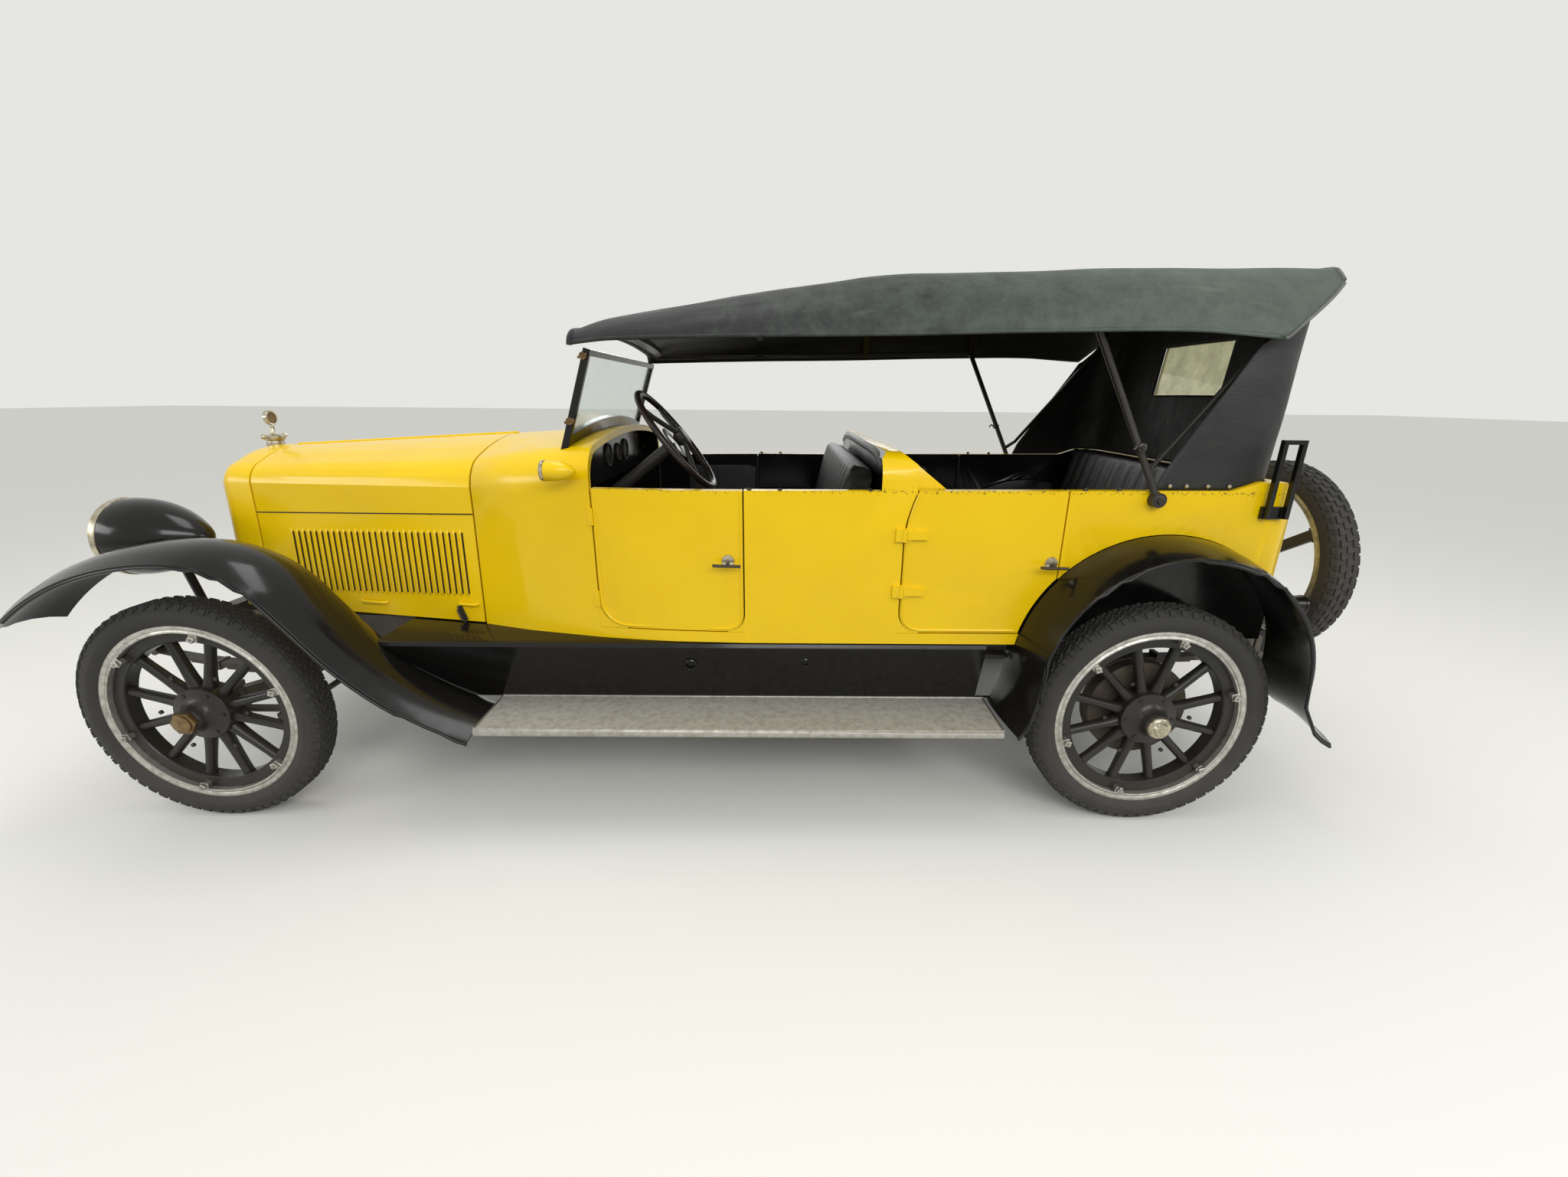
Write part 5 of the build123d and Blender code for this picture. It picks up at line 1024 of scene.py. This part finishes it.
for node, x0, x1 in (("front_left_door", 1392, 1874), ("front_right_door", 1392, 1874),
                     ("rear_left_door", 2480, 2780), ("rear_right_door", 2480, 2780)):
    side = -1 if "left" in node else 1
    body = bodies_of[node]
    half_at = 622 if x0 < 2000 else 627
    ahead_y = 604 if x0 < 2000 else 627
    slope = Vector((x1 - x0, side * (half_at - ahead_y), 0)).normalized()
    middle = Vector(((x0 + x1) / 2, side * ((half_at + ahead_y) / 2 - 3.4), 925))
    flat = pad(facing_frame(middle, slope, (0, 0, 1), slope.cross(Vector((0, 0, 1)))), ((x1 - x0) / 2, 205, 3.0), 2,
               0.3, 0.05, 12)
    upholster(node + "_trim", body, [flat], 0.3)
for side, body in ((-1, "left"), (1, "right")):
    bm = bmesh.new()
    for path in ([(1374.5, 722), (1374.5, 1178)], [(1884.5, 722), (1884.5, 1180)],
                 [(2417.5, 722), (2417.5, 1045), (2426, 1100), (2440, 1150), (2452, 1180)],
                 [(2945.5, 930), (2945.5, 1184)]):
        tube(bm, [(x, side * (body_half(x) - 45), z) for x, z in path], 6.5, 10)
    finish(f"{body}_wind_cords", bm, "car", "seat_leather", hide, sharp=60)

# Interior: boarded floor under a black ribbed mat, a black instrument board with dull-rimmed dials, the dark
# wooden steering wheel with its quadrant and levers, and pedals and levers of black iron.
mat = rubber("black_ribbed_floor_mat", "191918", 0.5)
skin("floor", "floor_wood", mat)
skin("instrument_board", "board_wood", black)
skin("steering_column", "column_enamel", iron)
skin("pedals_and_levers", "frame_enamel", iron)
# The steering rim: glossy dark brown.
wheel_wood_dark = enamel("varnished_dark_walnut", "1E100A", "120A07", "3A2416", 0.25, 0.08)
tilt = Matrix.Translation((1629, -360, 1322)) @ Matrix.Rotation(math.radians(52), 4,
                                                                "Y") @ Matrix.Rotation(math.pi / 2, 4, "X")
whole = bmesh.new()
rim = bmesh.new()
lathe(rim, [(205 + 13.5 * math.cos(k * math.pi / 6), 11.5 * math.sin(k * math.pi / 6)) for k in range(12)], 72, True)
join(whole, rim, tilt)
piece = finish("steering_rim", whole, bodies_of["steering_wheel"], "wheel_rim_wood", wheel_wood_dark)
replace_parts(piece, "steering_wheel")
spider = bmesh.new()
tube(spider, [(196, 0, 0), (150, 3, 0), (60, 16, 0), (20, 22, 0)], 9, 10, 0.6)
round_about(spider, 4, math.radians(45))
lathe(spider, [(0, -4), (18, -4), (26, 4), (34, 14), (36, 34), (30, 37), (0, 37)], 32)
lathe(spider, [(40, -15), (64, -15), (64, -11), (40, -11)], 32, True)
tube(spider, [(0, -16, 0), (30, -20, 40), (52, -22, 70)], 4, 8)
tube(spider, [(0, -18, 0), (44, -22, 8), (84, -24, 14)], 4, 8)
for spot in ((55, -22, 74), (88, -24, 15)):
    bmesh.ops.create_uvsphere(spider, u_segments=12, v_segments=8, radius=9, matrix=Matrix.Translation(spot))
whole = bmesh.new()
join(whole, spider, tilt)
finish("steering_spider", whole, bodies_of["steering_wheel"], "column_enamel", iron)
dials, faces = bmesh.new(), bmesh.new()
for y, z, r in ((-110, 1246, 44), (40, 1246, 34), (160, 1246, 44)):
    lathe(dials, [(r - 6, 2), (r - 5, -6), (r, -7), (r + 3, -3), (r + 3, 2)], 32, True,
          Matrix.Translation((1304, y, z)) @ Matrix.Rotation(math.pi / 2, 4, "Z"))
    lathe(faces, [(0, -2), (r - 5, -2), (r - 5, 1), (0, 1)], 32, False,
          Matrix.Translation((1304, y, z)) @ Matrix.Rotation(math.pi / 2, 4, "Z"))
finish("dial_rims", dials, "car", "cap_nickel", drum_iron)
finish("dial_faces", faces, "car", "board_wood", dark_and_painted_shade)

# The lamps: black enamelled pressed-steel bowls with nickel-plated rims, silvered reflectors and glass lenses,
# small yellow lamps on the cowl, and a round red tail lamp. Each is turned about its own length.
forward = Matrix.Rotation(-math.pi / 2, 4, "Z")
for part, rows, slot, surface in (
    ("bowl",
     [(139, -132), (141, -112), (140, -80), (135, -44), (125, -8), (109, 30), (87, 68), (60, 104), (34, 132),
      (12, 146), (0, 148)], "fender_enamel", black),
    ("rim",
     [(118, -152), (126, -156), (136, -156), (142, -150), (143, -140), (142, -131), (138, -129), (136, -138),
      (118, -146)], "cap_nickel", nickel),
    ("reflector", [(132, -138), (126, -120), (104, -70), (66, -26), (24, -4), (0, -1)], "cap_nickel",
     metal("silvered_reflector", "D8D8D4", 0.06, "B8B8B4", 0.0, 0.05)),
    ("lens", [(128, -149), (90, -151), (40, -153), (0, -153.5)], "pane_glass", glass),
    ("bulb", [(0, -62), (10, -58), (14, -46), (10, -32), (8, -10), (0, -6)], "pane_glass", glass),
):
    bm = bmesh.new()
    lathe(bm, rows, 64, part == "rim")
    whole = bmesh.new()
    join(whole, bm, Matrix.Translation((-245, -425, 968)) @ forward)
    if part == "bowl":
        tube(whole, [(-245, -370, 662), (-245, -378, 690), (-245, -412, 850), (-245, -420, 880)], 15, 16)
        tube(whole, [(-245, -416, 846), (-245, -421, 872)], 24, 16)
        box(whole, (-290, -200), (-392, -348), (651, 662))
        for x in (-275, -215):
            tube(whole, [(x, -370, 660), (x, -370, 670)], 8, 6)
    twin(whole)
    piece = finish("headlight_" + part, whole, "car", slot, surface)
    if part == "bowl":
        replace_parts(piece, "headlights")
for part, rows, slot, surface in (
    ("shell", [(31, -44), (33, -38), (33, -8), (30, 14), (24, 32), (14, 46), (5, 53), (0, 55)], "body_enamel", yellow),
    ("rim", [(25, -52), (31, -54), (34, -50), (34, -42), (31, -40), (25, -46)], "cap_nickel", nickel),
    ("lens", [(29, -48), (16, -51), (0, -52)], "pane_glass", glass),
):
    bm = bmesh.new()
    lathe(bm, rows, 32, part == "rim")
    whole = bmesh.new()
    join(whole, bm, Matrix.Translation((1294, -660, 1246)) @ forward)
    if part == "shell":
        tube(whole, [(1296, -634, 1238), (1296, -610, 1232), (1296, -566, 1231)], 10, 12)
    twin(whole)
    piece = finish("cowl_lamp_" + part, whole, "car", slot, surface)
    if part == "shell":
        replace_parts(piece, "cowl_lamps")
bm = merged("tail_lamp")
lathe(bm, [(29, 34), (36, 38), (40, 34), (40, 24), (36, 22)], 32, True,
      Matrix.Translation((4060, -345, 700)) @ Matrix.Rotation(-math.pi / 2, 4, "Z"))
piece = finish("tail_lamp_body", bm, "car", "fender_enamel", black)
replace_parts(piece, "tail_lamp")
# The tail lamp: a spot of red.
ruby = enamel("ruby_glass", "8A0A08", "6A0504", "8A0A08", 0.1, 0.1)
bm = bmesh.new()
lathe(bm, [(32, 34), (20, 38), (0, 40)], 32, False,
      Matrix.Translation((4060, -345, 700)) @ Matrix.Rotation(-math.pi / 2, 4, "Z"))
finish("tail_lamp_lens", bm, "car", "pane_glass", ruby)

# The radiator: a dark brass fin-and-tube core behind the shell's opening, and the nickel and brass filler cap
# with its cross handle and round glass-faced temperature gauge.
core = metal("tarnished_brass_fins", "4A3D28", 0.5, "2A241A", 0.02, 0.4, 0.9)
skin("radiator_core", "core_brass", enamel("radiator_black", "0B0B0A", "12110F", "2A241A", 0.6, 0.3))
bm = bmesh.new()
for k in range(-24, 25):
    reach = 1228 - 44 * (abs(k) / 24) ** 4
    box(bm, (-130, -126.5), (k * 9.8 - 0.8, k * 9.8 + 0.8), (700, reach))
for k in range(44):
    box(bm, (-129.5, -127), (-238, 238), (706 + k * 11.4, 707.4 + k * 11.4))
finish("radiator_fins", bm, "car", "core_brass", core)
bm = bmesh.new()
upright = Matrix.Rotation(math.pi / 2, 4, "X")
lathe(bm,
      [(0, -16), (30, -16), (32, 0), (30, 14), (36, 18), (38, 24), (37, 33), (30, 38), (12, 41), (9, 46), (8, 72),
       (0, 74)], 40, False, Matrix.Translation((-124, 0, 1270)) @ upright)
bar = [(-64, 5), (-60, 9), (-52, 10), (-46, 6), (-30, 5.5), (-14, 8), (14, 8), (30, 5.5), (46, 6), (52, 10), (60, 9),
       (64, 5)]
lathe(bm, [(0, -65)] + [(r, y) for y, r in bar] + [(0, 65)], 20, False, Matrix.Translation((-124, 0, 1302)))
lathe(bm, [(23, -8), (27, -9), (30, -6), (30, 6), (27, 9), (23, 8)], 40, True,
      Matrix.Translation((-124, 0, 1376)) @ forward)
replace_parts(finish("radiator_filler", bm, "car", "cap_nickel", nickel), "radiator_cap")
bm = bmesh.new()
lathe(bm, [(0, -6), (24, -6), (24, 6), (0, 6)], 40, False, Matrix.Translation((-124, 0, 1376)) @ forward)
finish("gauge_face", bm, "car", "cap_nickel", brass)
skin("hood_hinge_rod", "body_enamel", yellow)

# The windshield: black enamelled frame raked back over the cowl, plate glass, and a brass thumb clamp a side.
skin("windshield_frame", "frame_enamel", black, 2)
skin("window_panes", "pane_glass", glass)
bm = bmesh.new()
for z, x in ((1395, 1301), (1600, 1364)):
    tube(bm, [(x, -516, z), (x, -534, z)], 12, 16)
    tube(bm, [(x - 16, -534, z - 6), (x + 16, -534, z + 6)], 4.5, 8)
twin(bm)
finish("windshield_clamps", bm, "car", "cap_nickel", brass)

# The running gear under the car: rails, axles and rods, brush-painted black and left dusty, with a rusty
# exhaust and oily cast iron. Frame and axles keep their CAD solids, given these finishes.
chassis = enamel("brushed_chassis_black", "141413", "1F1D1A", "4B3A2A", 0.45, 0.6, 0.9)
# Exhaust and pipes: rough brown rust.
rusty = metal("rusty_exhaust_steel", "4A3526", 0.7, "6A452C", 0.1, 0.4, 0.9)
for node, surface in (
    ("frame_rails", chassis), ("cross_members", chassis), ("board_brackets", chassis), ("front_axle", chassis),
    ("rear_axle", chassis),
    ("left_knuckle", chassis), ("right_knuckle", chassis), ("tie_rod", chassis), ("fuel_tank", black),
    ("spare_carrier", chassis),
    ("engine_block", drum_iron), ("exhaust", rusty),
):
    for slot in nodes[node].material_slots:
        slot.material = surface

# The engine under the hood: a side-valve six of oily cast iron, its head held by nuts between white spark
# plugs, pipes on its right and a carburettor on its left, and a four-bladed fan on a belt pulley in front.
# None of it shows in the photograph; it is what such a car has, drawn on the plain block's faces.
porcelain = enamel("glazed_white_porcelain", "D9D6CC", "C8C4B8", "8A8272", 0.2, 0.1)
block, plugs, pipes = bmesh.new(), bmesh.new(), bmesh.new()
box(block, (58, 742), (-118, 118), (1129, 1150))
for side in (-1, 1):
    box(block, (42, 758), (min(side * 164, side * 186), max(side * 164, side * 186)), (628, 646))
    for k in range(2):
        box(block, (80 + 330 * k, 380 + 330 * k), (min(side * 164, side * 171), max(side * 164, side * 171)),
            (760, 880))
        lathe(block, [(0, -12), (9, -12), (9, 0), (0, 0)], 6,
              place=Matrix.Translation((230 + 330 * k, side * 178, 820)))
bmesh.ops.bevel(block, geom=block.edges[:], offset=3, segments=2, profile=0.5, affect="EDGES", material=-1,
                clamp_overlap=True)
for k in range(7):
    for y in (-98, 98):
        lathe(block, [(0, 0), (11, 0), (11, 12), (5, 13), (5, 20), (0, 20)], 6,
              place=Matrix.Translation((78 + 107 * k, y, 1150)) @ Matrix.Rotation(math.pi / 2, 4, "X"))
for k in range(6):
    x = 132 + 107 * k
    stem = Matrix.Translation((x, -40, 1150)) @ Matrix.Rotation(math.pi / 2, 4, "X")
    lathe(block, [(0, 0), (13, 0), (13, 9), (0, 9)], 6, place=stem)
    lathe(plugs, [(0, 9), (8, 9), (7, 20), (5, 34), (3, 36), (3, 42), (0, 42)], 16, place=stem)
    tube(pipes, [(x, 160, 985), (x, 190, 980), (x + 12, 212, 962)], 21, 16)
    tube(block, [(x, -160, 955), (x, -196, 955)], 17, 16)
tube(pipes, [(96, 214, 950), (400, 216, 950), (716, 214, 950)], 33, 20)
tube(pipes, [(700, 214, 950), (748, 212, 900), (764, 206, 780)], 27, 20)
tube(block, [(110, -204, 955), (700, -204, 955)], 22, 16)
tube(block, [(402, -206, 950), (402, -210, 880)], 20, 16)
tube(block, [(402, -212, 884), (402, -212, 800)], 38, 20)
lathe(block, [(0, -18), (92, -18), (96, -12), (88, -6), (96, 0), (92, 6), (0, 6)], 40,
      place=Matrix.Translation((20, 0, 960)) @ Matrix.Rotation(math.pi / 2, 4, "Z"))
for turn in range(4):
    spin = Matrix.Translation((-26, 0, 960)) @ Matrix.Rotation(math.radians(90 * turn + 45), 4, "X")
    sweep(pipes,
          [spin @ Matrix.Translation((0, 0, r)) @ Matrix.Rotation(math.radians(32), 4,
                                                                  "Z") @ Matrix.Diagonal((2, w, 1, 1)) for r,
                                                                  w in ((20, 18), (70, 34), (150, 44), (196, 36))], 12)
tube(block, [(-30, 0, 960), (40, 0, 960)], 16, 16)
finish("engine_castings", block, "car", "engine_iron", drum_iron)
finish("spark_plugs", plugs, "car", "engine_iron", porcelain)
finish("engine_pipes_and_fan", pipes, "car", "pipe_steel", rusty)

# The springs: separate flat leaves, longest on top, bound by clips and hung from rolled eyes and shackles.
bm = bmesh.new()
for centre, half, eye_z, seat_z in ((-20, 470, 482, 432), (3302, 640, 500, 488)):
    for k in range(6):
        reach = half * (1 - 0.145 * k)
        path = []
        for i in range(17):
            t = (i - 8) / 8
            x = centre + reach * t
            z = eye_z + 5 + (seat_z - 3 - eye_z - 5) * (1 - ((x - centre) / half) ** 2) - 5.6 * k
            path.append((x, -370, z))
        sweep(bm, [m @ Matrix.Diagonal((24.5, 2.6, 1, 1)) for m in along(path, 1)],
              outline=((-1, -1), (1, -1), (1, 1), (-1, 1)))
    for shift in (-half, half):
        tube(bm, [(centre + shift, -395, eye_z + 4), (centre + shift, -345, eye_z + 4)], 13, 16)
    for shift in (-50, 50):
        box(bm, (centre + shift - 7, centre + shift + 7), (-399, -341), (seat_z - 42, seat_z + 3))
        box(bm, (centre + shift * 4.6 - 9, centre + shift * 4.6 + 9), (-398, -342), (seat_z - 20, seat_z + 16))
for x, low, high in ((436, 470, 531), (2676, 492, 531), (3927, 492, 580)):
    box(bm, (x - 11, x + 11), (-388, -352), (low, high))
twin(bm)
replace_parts(finish("spring_leaves", bm, "car", "spring_steel", chassis), "leaf_springs")

# The running boards: wood covered in dull grey sheet aluminium, with a rolled edge strip and old footprints,
# and black screwed plates over the holes in the splash aprons.
tread = metal("trodden_sheet_aluminium", "B9B8B0", 0.5, "8F8D84", 0.0, 0.5, 1.4, 0.3)
# The boards' edge: a brighter line.
edge_strip = metal("polished_edge_strip", "B9B8B2", 0.28, "97948C", 0.0, 0.3)
skin("running_boards", "board_aluminium", tread, 3)
bm = bmesh.new()
tube(bm, [(984, -840, 399), (2762, -840, 399)], 8, 10, 1.5)
tube(bm, [(984, -604, 415), (2762, -604, 415)], 4, 8)
for x in (984, 2762):
    tube(bm, [(x, -604, 413), (x, -836, 413)], 4, 8)
twin(bm)
finish("board_edges", bm, "car", "board_aluminium", edge_strip)
bm = bmesh.new()
for x, r, z in ((1690, 17, 566), (2098, 12, 576)):
    lathe(bm, [(r, -3), (r + 3, -4), (r + 6, -1), (r + 6, 3), (r, 3)], 24, True,
          Matrix.Translation((x, -653, z)) @ Matrix.Rotation(math.radians(13), 4, "X"))
twin(bm)
finish("apron_rings", bm, "car", "fender_enamel", black)

# The doors' fittings: a raised half-round bead round each door in the body colour, dark T handles on nickel
# escutcheons, square leaves on the rear doors' hinges, and small curtain fasteners along the belt.
# Each is swept or turned on the left door and mirrored; the beads follow the doors' edges a little way in.


def corner(x, z, radius, toward):
    """Points round a door's lower corner: its outside corner, its radius and which way the door lies."""
    turns = [math.radians(15 * k) for k in range(7)]
    return [(x + toward * radius * (1 - math.cos(t)), z + radius * (1 - math.sin(t))) for t in turns]


REAR_HINGES = (850, 1045)
DOOR_BEADS = {
    "front": [(1384, 1178), (1384, 1000)] + corner(1384, 708, 90, 1) + corner(1875, 708, 50,
                                                                              -1)[::-1] + [(1875, 1000), (1875, 1180)],
    "rear": [(2458, 1180), (2447, 1150), (2433, 1100), (2427, 1050)] + corner(2427, 708, 64, 1) + [(2820, 708)],
}
for name in ("front", "rear"):
    for side in ("left", "right"):
        node = f"{name}_{side}_door"
        x = 1832 if name == "front" else 2918
        y = -665.5
        handle, plate = bmesh.new(), bmesh.new()
        tube(handle, [(x, y, 945), (x, y - 32, 945)], 6, 12)
        tube(handle,
             [(x - 48, y - 36, 946), (x - 30, y - 38, 945), (x, y - 39, 945), (x + 30, y - 37, 944),
              (x + 44, y - 35, 943)], 6.5, 12, 0.8)
        lathe(plate, [(0, -6), (12, -6), (20, -4), (22, 0), (0, 1)], 28, False, Matrix.Translation((x, y, 952)))
        bead = bmesh.new()
        tube(bead, [(x, -body_half(x) + 0.5, z) for x, z in DOOR_BEADS[name]], 4.5, 10)
        if name == "rear":
            for z in REAR_HINGES:
                box(bead, (2421, 2442), (-671, -664), (z - 24, z + 24))
        for part, shape, slot, surface in (("handle", handle, "frame_enamel", drum_iron),
                                           ("escutcheon", plate, "cap_nickel", nickel),
                                           ("bead", bead, "body_enamel", yellow)):
            whole = bmesh.new()
            join(whole, shape, MIRROR if side == "right" else None)
            finish(f"{node}_{part}", whole, bodies_of[node], slot, surface)
bm = bmesh.new()
for x0, toward, radius in ((1372.5, 1, 99), (1886.5, -1, 59), (2415.5, 1, 73)):
    count = 8
    outline = [(-2, -4), (-2, radius)]
    outline += [(radius * (1 - math.cos(k * math.pi / 2 / count)),
                 radius * (1 - math.sin(k * math.pi / 2 / count))) for k in range(count + 1)]
    outline += [(radius, -4)]
    rows = []
    for depth in (1, 30):
        flat = Matrix(((toward, 0, 0), (0, 0, -1), (0, 1, 0))).to_4x4()
        rows.append(Matrix.Translation((x0, depth - body_half(x0 + toward * radius / 3), 700)) @ flat)
    one = bmesh.new()
    sweep(one, rows, outline=outline)
    for vert in one.verts:
        vert.co.y += body_half(x0 + toward * radius / 3) - body_half(vert.co.x)
    join(bm, one)
twin(bm)
finish("door_corner_panels", bm, "car", "body_enamel", yellow)
bm = bmesh.new()
for x in (1905, 2005, 2402, 2300):
    bmesh.ops.create_cone(bm, cap_ends=True, segments=4, radius1=12, radius2=5, depth=7,
                          matrix=Matrix.Translation((x, -655, 1192)) @ Matrix.Rotation(0.4, 4, "Y"))
for x in (3000, 3110):
    bmesh.ops.create_cone(bm, cap_ends=True, segments=12, radius1=8, radius2=5, depth=8,
                          matrix=Matrix.Translation((x, -655, 1199)))
twin(bm)
finish("belt_fasteners", bm, "car", "cap_nickel", drum_iron)

size = {"cad": [list(v) for v in cad_box], "visual": [list(v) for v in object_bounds()]}
